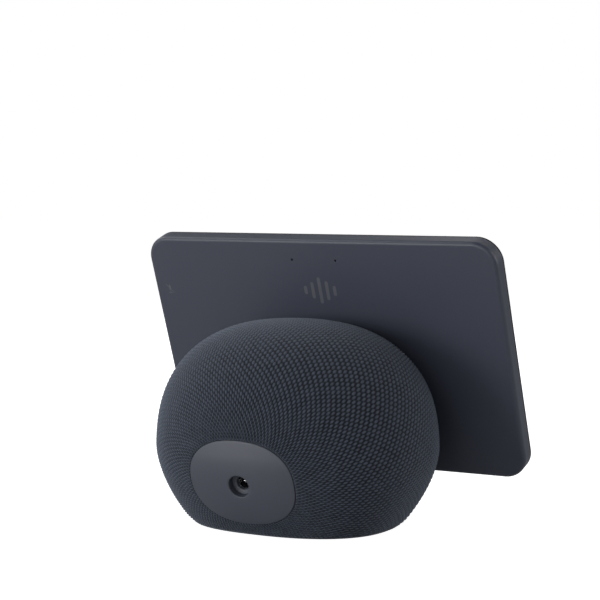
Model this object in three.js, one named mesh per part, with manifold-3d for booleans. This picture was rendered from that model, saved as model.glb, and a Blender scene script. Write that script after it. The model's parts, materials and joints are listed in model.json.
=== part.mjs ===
// Smart display: a tablet-like screen on the cut front of a knit-covered loudspeaker base.
//
// Millimetres, +Z up, the floor at z = 0. The screen faces -Y and +X is on the right of someone
// who looks at it. The origin is on the floor, under the middle of the whole object.
// Pieces of the screen are drawn in the display's own frame, where x runs across, z runs up the
// panel and y = 0 is its back face, with the glass at negative y.

import * as THREE from 'three';
import { mergeVertices } from 'three/addons/utils/BufferGeometryUtils.js';
import Module from 'manifold-3d';

const wasm = await Module();
wasm.setup();

// ---------------------------------------------------------------- driving dimensions

const GAP = 0.3;

const DISPLAY_WIDTH = 210;
const DISPLAY_HEIGHT = 132.5;
const DISPLAY_DEPTH = 9.5;
const DISPLAY_CORNER = 13.2;
const BACK_FILLET = 2.1;
const FRONT_ROUND = 0.8;
const CORNER_STEPS = 6;
const DISPLAY_TILT = THREE.MathUtils.degToRad(20);
const BACK_CENTRE = new THREE.Vector3(0, -32.24, 84.29);
const COVER_WALL = 1.8;
const COVER_FRONT = -8.0;
const GLASS_THICKNESS = 0.8;
const GLASS_MARGIN = 1.1;
const LCD_SIZE = [193, 117];
const CHASSIS_SIZE = [190, 115];
const CAMERA_HEIGHT = 61.2;
const MIC_X = 13.1;
const MIC_Z = 54.9;

const KEY_WIDTH = 2.4;
const KEY_LENGTH = 9;
const KEY_DEPTH_Y = -4.4;
const KEYS = [
  { name: 'mic_off', z: 36 },
  { name: 'volume_up', z: 20 },
  { name: 'volume_down', z: 8 },
];

const NECK_Z = -26;
const NECK_TUBE = [40, 26];
const NECK_FRONT_FLANGE = [60, 40];
const NECK_REAR_FLANGE = [58, 29];
const CABLE_WIDTH = 10;
const CABLE_THICKNESS = 0.4;

const BALL_HALF_WIDTH = 75.3;
const BALL_HALF_DEPTH = 59.4;
const BALL_CENTRE_Y = 4.2;
const BALL_HEIGHT = 106.2;
const BALL_WAIST = 41.8;
const BALL_LOWER_REACH = 74.6;
const BALL_UPPER_POWER = 2.42;
const BALL_LOWER_POWER = 1.6;
const BALL_SECTION_POWER = [2.4, 2.0];
const FABRIC_THICKNESS = 1.4;
const HOUSING_WALL = 2.3;
const HOUSING_INSET = FABRIC_THICKNESS + GAP;
const CAVITY_INSET = HOUSING_INSET + HOUSING_WALL + GAP;
const HOUSING_SPLIT = 39;
const FRONT_CUT = 0.5;

const FOOT_HALF_SIZE = [51, 39];
const FOOT_POWER = 2.6;
const FOOT_HEIGHT = 1.6;

const PLATE_HALF_SIZE = [30.3, 21.7];
const PLATE_CENTRE_Z = 28;
const PLATE_POWER = 2.3;
const JACK_POSITION = new THREE.Vector3(0, 60.6, 26.5);
const JACK_DROOP = THREE.MathUtils.degToRad(18);
const RECESS_RADIUS = 5.75;
const RECESS_DEPTH = 3.8;
const SOCKET_RADIUS = 3.2;
const SOCKET_BOSS_RADIUS = 7.4;
const JACK_PASSAGE_RADIUS = 7.8;

const WOOFER_POSITION = new THREE.Vector3(0, 14, 75.8);
const DRIVER_POSITION = new THREE.Vector3(57, -12, 57);
const DRIVER_AXIS = new THREE.Vector3(0.87, -0.5, 0).normalize();
const ENCLOSURE_FLOOR = [38, 40];
const WOOFER_BAFFLE = [73, 75.5];

const FLOOR_COLUMNS = [[-42, -11.8], [42, -11.8], [-42, 20.2], [42, 20.2]];
const BOARD_POSTS = [[-31, -12.8], [31, -12.8], [-31, 21.2], [31, 21.2]];
const BASE_PLATE_HALF_SIZE = [49.5, 37.5];
const BASE_PLATE_TOP = 4.4;
const BOARD_POST_TOP = 13.7;
const BALLAST_HALF_SIZE = [26, 29];
const MAIN_BOARD_HALF_SIZE = [36, 31];

const TOP_SLOT_PITCH = 11;
const TOP_SLOT_WIDTH = 4;
const TOP_SLOT_CIRCLE = 28;
const SIDE_SLOT_PITCH = 8;
const SIDE_SLOT_SIZE = [4, 22];
const SIDE_SLOT_HUB_Y = 12;
const SIDE_SLOT_SPLAY = 1.2;

const FINISHES = {
  graphite: { color: 0x3b3f48, roughness: 0.5, metalness: 0 },
  knit: { color: 0x2c3038, roughness: 0.95, metalness: 0 },
  blackPlastic: { color: 0x16171a, roughness: 0.55, metalness: 0 },
  glass: { color: 0x0b0c0e, roughness: 0.08, metalness: 0 },
  panel: { color: 0x101216, roughness: 0.25, metalness: 0 },
  diffuser: { color: 0xdfe2e4, roughness: 0.6, metalness: 0 },
  aluminium: { color: 0xb4b7ba, roughness: 0.4, metalness: 1 },
  steel: { color: 0x8e9296, roughness: 0.35, metalness: 1 },
  gold: { color: 0xc9a254, roughness: 0.3, metalness: 1 },
  board: { color: 0x123524, roughness: 0.45, metalness: 0 },
  magnet: { color: 0x2a2b2e, roughness: 0.7, metalness: 0.3 },
  cone: { color: 0x1c1d20, roughness: 0.85, metalness: 0 },
  rubber: { color: 0x1a1b1d, roughness: 0.9, metalness: 0 },
  flex: { color: 0x8a5a24, roughness: 0.5, metalness: 0 },
};

// ---------------------------------------------------------------- shapes and solids

/** Turns a closed geometry's faces outward. */
function outward(geometry) {
  const mesh = geometry.index ? geometry : mergeVertices(geometry);
  const point = mesh.attributes.position;
  const index = mesh.index;
  const a = new THREE.Vector3();
  const b = new THREE.Vector3();
  const c = new THREE.Vector3();
  let volume = 0;
  for (let i = 0; i < index.count; i += 3) {
    a.fromBufferAttribute(point, index.getX(i));
    b.fromBufferAttribute(point, index.getX(i + 1));
    c.fromBufferAttribute(point, index.getX(i + 2));
    volume += a.dot(b.cross(c));
  }
  if (volume < 0) {
    for (let i = 0; i < index.count; i += 3) {
      const first = index.getX(i);
      index.setX(i, index.getX(i + 1));
      index.setX(i + 1, first);
    }
  }
  return mesh;
}

function toSolid(geometry) {
  const bare = geometry.clone();
  bare.deleteAttribute('normal');
  bare.deleteAttribute('uv');
  const merged = outward(mergeVertices(bare, 1e-4));
  return new wasm.Manifold(new wasm.Mesh({
    numProp: 3,
    vertProperties: Float32Array.from(merged.attributes.position.array),
    triVerts: Uint32Array.from(merged.index.array),
  }));
}

function toGeometry(solid) {
  const mesh = solid.getMesh();
  const geometry = new THREE.BufferGeometry();
  geometry.setAttribute('position', new THREE.BufferAttribute(Float32Array.from(mesh.vertProperties), 3));
  geometry.setIndex(new THREE.BufferAttribute(Uint32Array.from(mesh.triVerts), 1));
  return geometry;
}

function cut(body, ...tools) {
  return toGeometry(tools.reduce((solid, tool) => solid.subtract(toSolid(tool)), toSolid(body)));
}

function join(body, ...others) {
  return toGeometry(others.reduce((solid, other) => solid.add(toSolid(other)), toSolid(body)));
}

function common(body, other) {
  return toGeometry(toSolid(body).intersect(toSolid(other)));
}

/** A box from its lowest and highest corners. */
function boxBetween(low, high) {
  const size = high.map((value, axis) => value - low[axis]);
  const geometry = new THREE.BoxGeometry(...size);
  geometry.translate(...high.map((value, axis) => (value + low[axis]) / 2));
  return geometry;
}

function roundedRectangle(width, height, radius, centre = [0, 0]) {
  const shape = new THREE.Shape();
  const x = width / 2 - radius;
  const y = height / 2 - radius;
  const [cx, cy] = centre;
  shape.absarc(cx + x, cy - y, radius, -Math.PI / 2, 0);
  shape.absarc(cx + x, cy + y, radius, 0, Math.PI / 2);
  shape.absarc(cx - x, cy + y, radius, Math.PI / 2, Math.PI);
  shape.absarc(cx - x, cy - y, radius, Math.PI, 1.5 * Math.PI);
  return shape;
}

function superellipsePoint(halfWidth, halfHeight, power, angle) {
  const c = Math.cos(angle);
  const s = Math.sin(angle);
  return new THREE.Vector2(
    halfWidth * Math.sign(c) * Math.abs(c) ** (2 / power),
    halfHeight * Math.sign(s) * Math.abs(s) ** (2 / power),
  );
}

function superellipse(halfWidth, halfHeight, power, centre = [0, 0], count = 32) {
  const points = [];
  for (let i = 0; i < count; i += 1) {
    const point = superellipsePoint(halfWidth, halfHeight, power, (i / count) * 2 * Math.PI);
    points.push(point.add(new THREE.Vector2(...centre)));
  }
  return new THREE.Shape(points);
}

function extrude(shape, from, to, basis, curveSegments) {
  const geometry = new THREE.ExtrudeGeometry(shape, {
    depth: to - from,
    bevelEnabled: false,
    curveSegments,
  });
  geometry.translate(0, 0, from);
  geometry.applyMatrix4(basis);
  return geometry;
}

const AXIS_X = new THREE.Vector3(1, 0, 0);
const AXIS_Y = new THREE.Vector3(0, 1, 0);
const AXIS_Z = new THREE.Vector3(0, 0, 1);
const ALONG_X = new THREE.Matrix4().makeBasis(AXIS_Y, AXIS_Z, AXIS_X);
const ALONG_MINUS_Y = new THREE.Matrix4().makeBasis(AXIS_X, AXIS_Z, AXIS_Y.clone().negate());
const ALONG_Z = new THREE.Matrix4();

/** A shape drawn in y and z, extruded from one x to another. */
const prismX = (shape, from, to, segments = 4) => extrude(shape, from, to, ALONG_X, segments);
/** A shape drawn in x and z, extruded from one y to another. */
const prismY = (shape, from, to, segments = 4) => extrude(shape, -to, -from, ALONG_MINUS_Y, segments);
/** A shape drawn in x and y, extruded from one z to another. */
const prismZ = (shape, from, to, segments = 4) => extrude(shape, from, to, ALONG_Z, segments);

/** A turned piece around Z, from a closed outline of [radius, height] pairs. */
function turned(outline, segments = 20) {
  const points = outline.map(([radius, height]) => new THREE.Vector2(radius, height));
  const onAxis = outline[0][0] === 0 && outline.at(-1)[0] === 0;
  if (!onAxis) {
    points.push(points[0].clone());
  }
  const geometry = new THREE.LatheGeometry(points, segments);
  geometry.rotateX(Math.PI / 2);
  return toGeometry(toSolid(geometry));
}

function cylinder(radius, from, to, centre = [0, 0], segments = 12) {
  const geometry = new THREE.CylinderGeometry(radius, radius, to - from, segments);
  geometry.rotateX(Math.PI / 2);
  geometry.translate(centre[0], centre[1], (from + to) / 2);
  return geometry;
}

/** A hole or pin along y in the display's frame, at an x and a z. */
function pinY(radius, from, to, [x, z], segments = 10) {
  const geometry = new THREE.CylinderGeometry(radius, radius, to - from, segments);
  geometry.translate(x, (from + to) / 2, z);
  return geometry;
}

/** A closed skin through rings of equal point counts, with a fan over each end. */
function loft(rings, lowEnd, highEnd) {
  const count = rings[0].length;
  const points = rings.flat();
  const index = [];
  for (let ring = 0; ring + 1 < rings.length; ring += 1) {
    for (let i = 0; i < count; i += 1) {
      const a = ring * count + i;
      const b = ring * count + ((i + 1) % count);
      index.push(a, b, b + count, a, b + count, a + count);
    }
  }
  const low = points.push(lowEnd) - 1;
  const high = points.push(highEnd) - 1;
  const last = (rings.length - 1) * count;
  for (let i = 0; i < count; i += 1) {
    const next = (i + 1) % count;
    index.push(low, next, i);
    index.push(high, last + i, last + next);
  }
  const geometry = new THREE.BufferGeometry().setFromPoints(points);
  geometry.setIndex(index);
  return outward(geometry);
}

// ---------------------------------------------------------------- the assembly's frames

const device = new THREE.Group();

function frameIn(parent, position, quaternion = new THREE.Quaternion()) {
  const frame = new THREE.Group();
  frame.position.copy(position);
  frame.quaternion.copy(quaternion);
  parent.add(frame);
  frame.updateWorldMatrix(true, false);
  return frame;
}

const tilt = new THREE.Quaternion().setFromAxisAngle(AXIS_X, -DISPLAY_TILT);
const display = frameIn(device, BACK_CENTRE, tilt);
const jackAxis = new THREE.Vector3(0, Math.cos(JACK_DROOP), -Math.sin(JACK_DROOP));
const jackTurn = new THREE.Quaternion().setFromUnitVectors(AXIS_Z, jackAxis);
const jack = frameIn(device, JACK_POSITION, jackTurn);
const woofer = frameIn(device, WOOFER_POSITION);
const drivers = [-1, 1].map((side) => {
  const position = DRIVER_POSITION.clone();
  const axis = DRIVER_AXIS.clone();
  position.x *= side;
  axis.x *= side;
  const turn = new THREE.Quaternion().setFromUnitVectors(AXIS_Z, axis);
  return { name: side < 0 ? 'left' : 'right', frame: frameIn(device, position, turn) };
});

/** A copy of a geometry, moved from a frame's own coordinates to the device's. */
function placed(geometry, frame) {
  return geometry.clone().applyMatrix4(frame.matrixWorld);
}

function add(name, geometry, finish, frame = device) {
  const shown = geometry.clone();
  shown.deleteAttribute('uv');
  shown.deleteAttribute('normal');
  const merged = outward(mergeVertices(shown, 1e-4));
  merged.computeVertexNormals();
  const mesh = new THREE.Mesh(merged, new THREE.MeshStandardMaterial(FINISHES[finish]));
  mesh.name = name;
  frame.add(mesh);
}

/** A machine screw along +z with a driver recess, its head's underside at z = 0. */
function screw(headRadius, headHeight, shankRadius, shankLength) {
  return turned([
    [0, -shankLength], [shankRadius, -shankLength], [shankRadius, 0],
    [headRadius, 0], [headRadius, headHeight], [0.9, headHeight],
    [0.9, headHeight * 0.5], [0, headHeight * 0.5],
  ], 10);
}

// ---------------------------------------------------------------- display: covers and glass

/** The display's rounded outline, pulled in all round by an inset. */
function displayOutline(inset = 0) {
  return roundedRectangle(DISPLAY_WIDTH - 2 * inset, DISPLAY_HEIGHT - 2 * inset, DISPLAY_CORNER - inset);
}

function displayRing(inset, y) {
  return displayOutline(inset).getPoints(CORNER_STEPS).slice(0, -1).map((p) => new THREE.Vector3(p.x, y, p.y));
}

/** The slab between two depths, with its edge rounded at the back or the front. */
function displaySlab(rings) {
  const skins = rings.map(([inset, y]) => displayRing(inset, y));
  const ends = [rings[0][1], rings.at(-1)[1]].map((y) => new THREE.Vector3(0, y, 0));
  return loft(skins, ...ends);
}

function filletRings(radius, edge, direction, steps) {
  const rings = [];
  for (let step = 0; step <= steps; step += 1) {
    const angle = (step / steps) * (Math.PI / 2);
    rings.push([radius * (1 - Math.cos(angle)), edge - direction * radius * (1 - Math.sin(angle))]);
  }
  return rings;
}

/** A side key's pill-shaped outline, drawn in y and z, grown all round by a margin. */
function keyOutline(key, margin) {
  const width = KEY_WIDTH + 2 * margin;
  const length = KEY_LENGTH + 2 * margin;
  return roundedRectangle(width, length, width / 2 - 0.01, [KEY_DEPTH_Y, key.z]);
}

const sideFace = DISPLAY_WIDTH / 2;
const sideWall = sideFace - COVER_WALL;

function rearCover() {
  const outer = displaySlab([[0, COVER_FRONT], ...filletRings(BACK_FILLET, 0, 1, 4)]);
  const inside = prismY(displayOutline(COVER_WALL), COVER_FRONT - 1, -COVER_WALL, CORNER_STEPS);
  const neckWindow = prismY(
    roundedRectangle(NECK_TUBE[0] + 1, NECK_TUBE[1] + 1, 5.5, [0, NECK_Z]), -COVER_WALL - 1, 1);
  const micHoles = [-MIC_X, MIC_X].map((x) => pinY(0.5, -COVER_WALL - 1, 1, [x, MIC_Z], 8));
  const keySlots = KEYS.map((key) => prismX(keyOutline(key, GAP), sideWall - 2, sideFace + 2, 3));
  return cut(outer, inside, neckWindow, ...micHoles, ...keySlots);
}

function frontFrame() {
  const front = -DISPLAY_DEPTH;
  const back = COVER_FRONT - GAP;
  const rim = displaySlab([
    ...filletRings(FRONT_ROUND, front, -1, 2).reverse(),
    [0, back],
  ]);
  const lip = prismY(displayOutline(COVER_WALL + GAP), back - 0.5, back + 1.1, CORNER_STEPS);
  const glassSeat = prismY(displayOutline(GLASS_MARGIN), front - 1, front + GLASS_THICKNESS + GAP, CORNER_STEPS);
  const screenWindow = prismY(roundedRectangle(199, 121, 6), front - 1, back + 3);
  const sensorNotch = boxBetween([-22, front - 1, 50], [22, back + 3, 63.6]);
  return cut(join(rim, lip), glassSeat, screenWindow, sensorNotch);
}

add('rear_cover', rearCover(), 'graphite', display);
add('front_frame', frontFrame(), 'blackPlastic', display);
add('front_glass', prismY(
  displayOutline(GLASS_MARGIN + GAP), -DISPLAY_DEPTH, GLASS_THICKNESS - DISPLAY_DEPTH, CORNER_STEPS), 'glass', display);

// ---------------------------------------------------------------- display: panel, boards, camera

const neckScrewSpots = [[-25, NECK_Z - 14], [25, NECK_Z - 14], [-25, NECK_Z + 14], [25, NECK_Z + 14]];

add('lcd_panel', boxBetween(
  [-LCD_SIZE[0] / 2, -8.4, -LCD_SIZE[1] / 2], [LCD_SIZE[0] / 2, -7.4, LCD_SIZE[1] / 2]), 'panel', display);
add('backlight_unit', boxBetween(
  [-LCD_SIZE[0] / 2, -7.1, -LCD_SIZE[1] / 2], [LCD_SIZE[0] / 2, -5.9, LCD_SIZE[1] / 2]), 'diffuser', display);

function displayChassis() {
  const plate = prismY(roundedRectangle(...CHASSIS_SIZE, 4), -5.6, -4.9);
  const holes = neckScrewSpots.map((spot) => pinY(1.3, -6.5, -4, spot));
  return cut(plate, ...holes);
}

add('display_chassis', displayChassis(), 'steel', display);

const lensBore = pinY(1.7, -9, -6.9, [0, CAMERA_HEIGHT]);
add('camera_module', cut(
  boxBetween([-3, -8.4, CAMERA_HEIGHT - 2.1], [3, -6.1, CAMERA_HEIGHT + 2.1]), lensBore), 'blackPlastic', display);
add('camera_lens', pinY(1.35, -8.35, -7.3, [0, CAMERA_HEIGHT]), 'glass', display);
add('light_sensor', boxBetween([14.5, -8.4, 60], [17.5, -7.4, 62]), 'blackPlastic', display);

add('display_board', boxBetween([-42, -4.3, 8], [42, -3.5, 40]), 'board', display);
add('mic_board', boxBetween([-20, -4.3, 50], [20, -3.7, 58]), 'board', display);
for (const [name, x] of [['mic_left', -MIC_X], ['mic_right', MIC_X]]) {
  add(name, boxBetween([x - 1.8, -3.4, MIC_Z - 1.4], [x + 1.8, -2.1, MIC_Z + 1.4]), 'gold', display);
}

// ---------------------------------------------------------------- side keys and their switches

function sideKey(key) {
  const cap = prismX(keyOutline(key, 0), sideWall - GAP - 0.2, sideFace, 3);
  const collar = prismX(keyOutline(key, 0.7), sideWall - GAP - 0.7, sideWall - GAP, 3);
  const nub = boxBetween(
    [sideWall - GAP - 1.3, KEY_DEPTH_Y - 0.6, key.z - 1], [sideWall - GAP - 0.6, KEY_DEPTH_Y + 0.6, key.z + 1]);
  return join(cap, collar, nub);
}

for (const key of KEYS) {
  add(`${key.name}_button`, sideKey(key), 'graphite', display);
  add(`${key.name}_switch`, boxBetween(
    [98.2, KEY_DEPTH_Y - 1.2, key.z - 1.7], [100.7, KEY_DEPTH_Y + 1.2, key.z + 1.7]), 'steel', display);
}
add('button_board', boxBetween([97.1, -5.7, 2], [97.9, -2.3, 42]), 'board', display);

// ---------------------------------------------------------------- neck between display and base

function neckBracket() {
  const centre = [0, NECK_Z];
  const frontFlange = prismY(roundedRectangle(...NECK_FRONT_FLANGE, 4, centre), -4.6, -3.2);
  const tube = prismY(roundedRectangle(...NECK_TUBE, 5, centre), -3.6, 4);
  const rearFlange = prismY(roundedRectangle(...NECK_REAR_FLANGE, 4, centre), 3.6, 5.6);
  const cableHole = boxBetween([-8, -6, NECK_Z - 4], [8, 7, NECK_Z + 4]);
  const cableSlot = boxBetween([-7, -6, NECK_Z], [7, -3.2, 10]);
  const screwHoles = neckScrewSpots.map((spot) => pinY(1.3, -6, -2, spot));
  return cut(join(frontFlange, tube, rearFlange), cableHole, cableSlot, ...screwHoles);
}

/** A screw whose head is at the back, driven towards the glass. */
function screwTowardsGlass(headSeat, shankLength, [x, z]) {
  const geometry = screw(2.2, 1.0, 1.0, shankLength);
  geometry.rotateX(-Math.PI / 2);
  geometry.translate(x, headSeat, z);
  return geometry;
}

add('neck_bracket', neckBracket(), 'aluminium', display);
neckScrewSpots.forEach((spot, i) => {
  add(`neck_screw_${i + 1}`, screwTowardsGlass(-2.9, 2.6, spot), 'steel', display);
});

/** The flat cable's centre line in y and z: down behind the glass, through the neck, to the board. */
function cableLine() {
  const panelPoint = (y, z) => new THREE.Vector3(0, y, z).applyMatrix4(display.matrixWorld);
  const stops = [
    panelPoint(-3.9, 7.6), panelPoint(-3.9, NECK_Z + 3), panelPoint(-3.1, NECK_Z + 0.8),
    panelPoint(-1.5, NECK_Z), panelPoint(7.5, NECK_Z),
    new THREE.Vector3(0, -29, 53.5), new THREE.Vector3(0, -26.5, 47),
    new THREE.Vector3(0, -26, 34), new THREE.Vector3(0, -25, 24), new THREE.Vector3(0, -22, 16.4),
  ];
  return stops.map((stop) => new THREE.Vector2(stop.y, stop.z));
}

/** A strip of even thickness along a line of [y, z] points. */
function ribbonOutline(line, thickness) {
  const normals = line.map((point, i) => {
    const before = line[Math.max(i - 1, 0)];
    const after = line[Math.min(i + 1, line.length - 1)];
    const along = after.clone().sub(before).normalize();
    return new THREE.Vector2(-along.y, along.x).multiplyScalar(thickness / 2);
  });
  const left = line.map((point, i) => point.clone().add(normals[i]));
  const right = line.map((point, i) => point.clone().sub(normals[i])).reverse();
  return new THREE.Shape([...left, ...right]);
}

add('display_cable', prismX(
  ribbonOutline(cableLine(), CABLE_THICKNESS), -CABLE_WIDTH / 2, CABLE_WIDTH / 2), 'flex');

// ---------------------------------------------------------------- base: knit cover and housings

/** One level section of the base's rounded body, in from the cloth's outer face by an inset. */
function ballRing(inset, scale, z) {
  const share = Math.min(z / BALL_HEIGHT, 1);
  const power = THREE.MathUtils.lerp(...BALL_SECTION_POWER, share);
  const points = superellipse(
    (BALL_HALF_WIDTH - inset) * scale, (BALL_HALF_DEPTH - inset) * scale, power, [0, BALL_CENTRE_Y]).getPoints();
  return points.map((point) => new THREE.Vector3(point.x, point.y, z));
}

function ball(inset, floorZ, lowerSteps = 4, upperSteps = 7) {
  const rings = [];
  for (let step = 0; step < lowerSteps; step += 1) {
    const z = THREE.MathUtils.lerp(floorZ, BALL_WAIST, step / lowerSteps);
    const share = (BALL_WAIST - z) / BALL_LOWER_REACH;
    rings.push(ballRing(inset, (1 - share ** BALL_LOWER_POWER) ** (1 / BALL_LOWER_POWER), z));
  }
  const top = BALL_HEIGHT - inset;
  for (let step = 0; step < upperSteps; step += 1) {
    const angle = (step / upperSteps) * (Math.PI / 2);
    const z = BALL_WAIST + (top - BALL_WAIST) * Math.sin(angle) ** (2 / BALL_UPPER_POWER);
    rings.push(ballRing(inset, Math.cos(angle) ** (2 / BALL_UPPER_POWER), z));
  }
  const low = new THREE.Vector3(0, BALL_CENTRE_Y, floorZ);
  const high = new THREE.Vector3(0, BALL_CENTRE_Y, top);
  return loft(rings, low, high);
}

const HUGE = 200;
/** Everything in front of a plane just behind the display's back face. */
const inFrontOf = (y) => placed(boxBetween([-HUGE, -HUGE, -HUGE], [HUGE, y, HUGE]), display);
/** A level or tilted layer of the housing's cavity. */
const cavity = ball(CAVITY_INSET, -1);
const levelLayer = (low, high) => cut(
  common(cavity, boxBetween([-HUGE, -HUGE, low], [HUGE, HUGE, high])), inFrontOf(FRONT_CUT + 2.8 + GAP));

const plateOutline = (margin) => superellipse(
  PLATE_HALF_SIZE[0] + margin, PLATE_HALF_SIZE[1] + margin, PLATE_POWER, [0, PLATE_CENTRE_Z]);
const plateHole = prismY(plateOutline(0.4), 20, HUGE);

function fabricCover() {
  return cut(ball(0, 0.5), ball(FABRIC_THICKNESS, -1), inFrontOf(FRONT_CUT), plateHole);
}

const shell = cut(ball(HOUSING_INSET, 0.9), ball(HOUSING_INSET + HOUSING_WALL, -1), inFrontOf(FRONT_CUT));
const jackPassage = placed(cylinder(JACK_PASSAGE_RADIUS, -20, 10), jack);

function topSlots() {
  const slots = [];
  for (let row = -2; row <= 2; row += 1) {
    const offset = row * TOP_SLOT_PITCH;
    const reach = Math.sqrt(TOP_SLOT_CIRCLE ** 2 - offset ** 2);
    const low = WOOFER_POSITION.y + offset - TOP_SLOT_WIDTH / 2;
    slots.push(boxBetween([-reach, low, 84], [reach, low + TOP_SLOT_WIDTH, 120]));
  }
  return slots;
}

/** Upright slots in front of each side driver, cut outward from its frame. */
function sideSlots() {
  const [width, height] = SIDE_SLOT_SIZE;
  return drivers.flatMap(({ frame }) => [-1, 0, 1].map((column) => {
    const slot = boxBetween([-width / 2, -height / 2, -3], [width / 2, height / 2, 30]);
    const outward = new THREE.Group();
    const turn = Math.atan2(frame.position.y - SIDE_SLOT_HUB_Y, frame.position.x * SIDE_SLOT_SPLAY);
    outward.position.copy(frame.position);
    outward.rotation.z = turn + Math.PI / 2;
    outward.rotateX(Math.PI / 2);
    outward.translateX(column * SIDE_SLOT_PITCH);
    outward.updateMatrixWorld();
    return slot.applyMatrix4(outward.matrixWorld);
  }));
}

add('fabric_cover', fabricCover(), 'knit');
add('lower_housing', cut(
  common(shell, boxBetween([-HUGE, -HUGE, -1], [HUGE, HUGE, HOUSING_SPLIT])), jackPassage), 'blackPlastic');
add('upper_housing', cut(
  common(shell, boxBetween([-HUGE, -HUGE, HOUSING_SPLIT + GAP], [HUGE, HUGE, HUGE])),
  ...topSlots(), ...sideSlots()), 'blackPlastic');

function frontBaffle() {
  const layer = common(cavity, placed(boxBetween(
    [-HUGE, FRONT_CUT + GAP, -HUGE], [HUGE, FRONT_CUT + 2.8, HUGE]), display));
  const above = boxBetween([-HUGE, -HUGE, 30], [HUGE, HUGE, HUGE]);
  const window = placed(prismY(
    roundedRectangle(NECK_TUBE[0] + 1, NECK_TUBE[1] + 1, 5.5, [0, NECK_Z]), -1, 8), display);
  return cut(common(layer, above), window);
}

add('front_baffle', frontBaffle(), 'blackPlastic');

// ---------------------------------------------------------------- base: rear plate and power socket

function rearPlate() {
  const skin = cut(ball(0, -1), ball(FABRIC_THICKNESS, -2));
  const patch = common(skin, prismY(plateOutline(0), 20, HUGE));
  const boss = placed(cylinder(SOCKET_BOSS_RADIUS, -5, -1, [0, 0], 20), jack);
  const recess = placed(cylinder(RECESS_RADIUS, -RECESS_DEPTH, 10, [0, 0], 24), jack);
  const bore = placed(cylinder(SOCKET_RADIUS + 0.2, -10, 10, [0, 0], 20), jack);
  return cut(join(patch, boss), recess, bore);
}

add('rear_plate', rearPlate(), 'graphite');
add('power_jack_body', turned([
  [SOCKET_RADIUS, -5.3], [5, -5.3], [5, -16], [1.3, -16], [1.3, -14.5], [SOCKET_RADIUS, -14.5],
]), 'blackPlastic', jack);
add('power_jack_pin', turned([
  [0, -17], [1, -17], [1, -6.8], [0.7, -6.2], [0, -6],
], 12), 'steel', jack);
add('power_jack_contact', boxBetween([2.45, -1, -14.1], [2.75, 1, -6.5]), 'steel', jack);
add('power_board', boxBetween([-14, 38, 16], [14, 50, 17.6]), 'board');

// ---------------------------------------------------------------- base: loudspeakers

function floorWithColumns() {
  const columns = FLOOR_COLUMNS.map((spot) => cylinder(3, 4.7, 38.5, spot, 10));
  const threads = FLOOR_COLUMNS.map((spot) => cylinder(1.4, 4, 15, spot, 10));
  const cableSlot = boxBetween([-6, -28.5, 30], [6, -23.5, 50]);
  return cut(join(levelLayer(...ENCLOSURE_FLOOR), ...columns), cableSlot, ...threads);
}

add('enclosure_floor', floorWithColumns(), 'blackPlastic');
add('woofer_baffle', cut(
  levelLayer(...WOOFER_BAFFLE),
  cylinder(32, 60, 90, [WOOFER_POSITION.x, WOOFER_POSITION.y], 28),
), 'blackPlastic');

add('woofer_basket', turned([
  [35, 0], [35, 1.6], [30.2, 1.6], [19.4, -17.4], [9.5, -17.4], [9.5, -19], [20.2, -19], [31, 0],
]), 'steel', woofer);
add('woofer_magnet', turned([
  [0, -19.4], [7.6, -19.4], [7.6, -28], [9.4, -28], [9.4, -19.4], [18, -19.4], [18, -32], [0, -32],
]), 'magnet', woofer);
add('woofer_cone', turned([
  [26.2, 0.2], [8.8, -12.8], [8.8, -26], [8.2, -26], [8.2, -12.2], [25.6, 0.9],
]), 'cone', woofer);
add('woofer_surround', turned([
  [26.6, 1.2], [27.2, 3], [28.8, 3.8], [30.6, 2.8], [31.2, 1.9], [34, 1.9],
  [34, 2.5], [31.6, 2.5], [28.8, 4.5], [26, 1.4],
]), 'rubber', woofer);
add('woofer_dust_cap', turned([
  [0, -9.6], [4.4, -10.4], [8, -11.9], [7.6, -12.3], [4, -11], [0, -10.2],
], 20), 'cone', woofer);

for (const { name, frame } of drivers) {
  add(`${name}_driver_frame`, turned([
    [14, 0], [14, -1.5], [11.5, -8], [6.3, -8], [6.3, -6.8], [10.6, -6.8], [12.6, 0],
  ], 20), 'blackPlastic', frame);
  add(`${name}_driver_magnet`, turned([[0, -8.3], [9, -8.3], [9, -16], [0, -16]], 20), 'magnet', frame);
  add(`${name}_driver_cone`, turned([
    [0, -2.6], [4, -3], [5.4, -4.4], [11.8, -0.4], [12.2, -0.9], [5.6, -5.4], [4, -3.7], [0, -3.3],
  ], 20), 'cone', frame);
}

// ---------------------------------------------------------------- base: boards, weight and foot

function basePlate() {
  const outline = superellipse(...BASE_PLATE_HALF_SIZE, FOOT_POWER, [0, BALL_CENTRE_Y]);
  const plate = prismZ(outline, FOOT_HEIGHT + GAP, BASE_PLATE_TOP);
  const posts = BOARD_POSTS.map((spot) => cylinder(2.5, 4, BOARD_POST_TOP, spot, 10));
  const heads = FLOOR_COLUMNS.map((spot) => cylinder(2.7, 0, 3.4, spot, 10));
  const shanks = FLOOR_COLUMNS.map((spot) => cylinder(1.4, 0, 6, spot, 10));
  return cut(join(plate, ...posts), ...heads, ...shanks);
}

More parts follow.
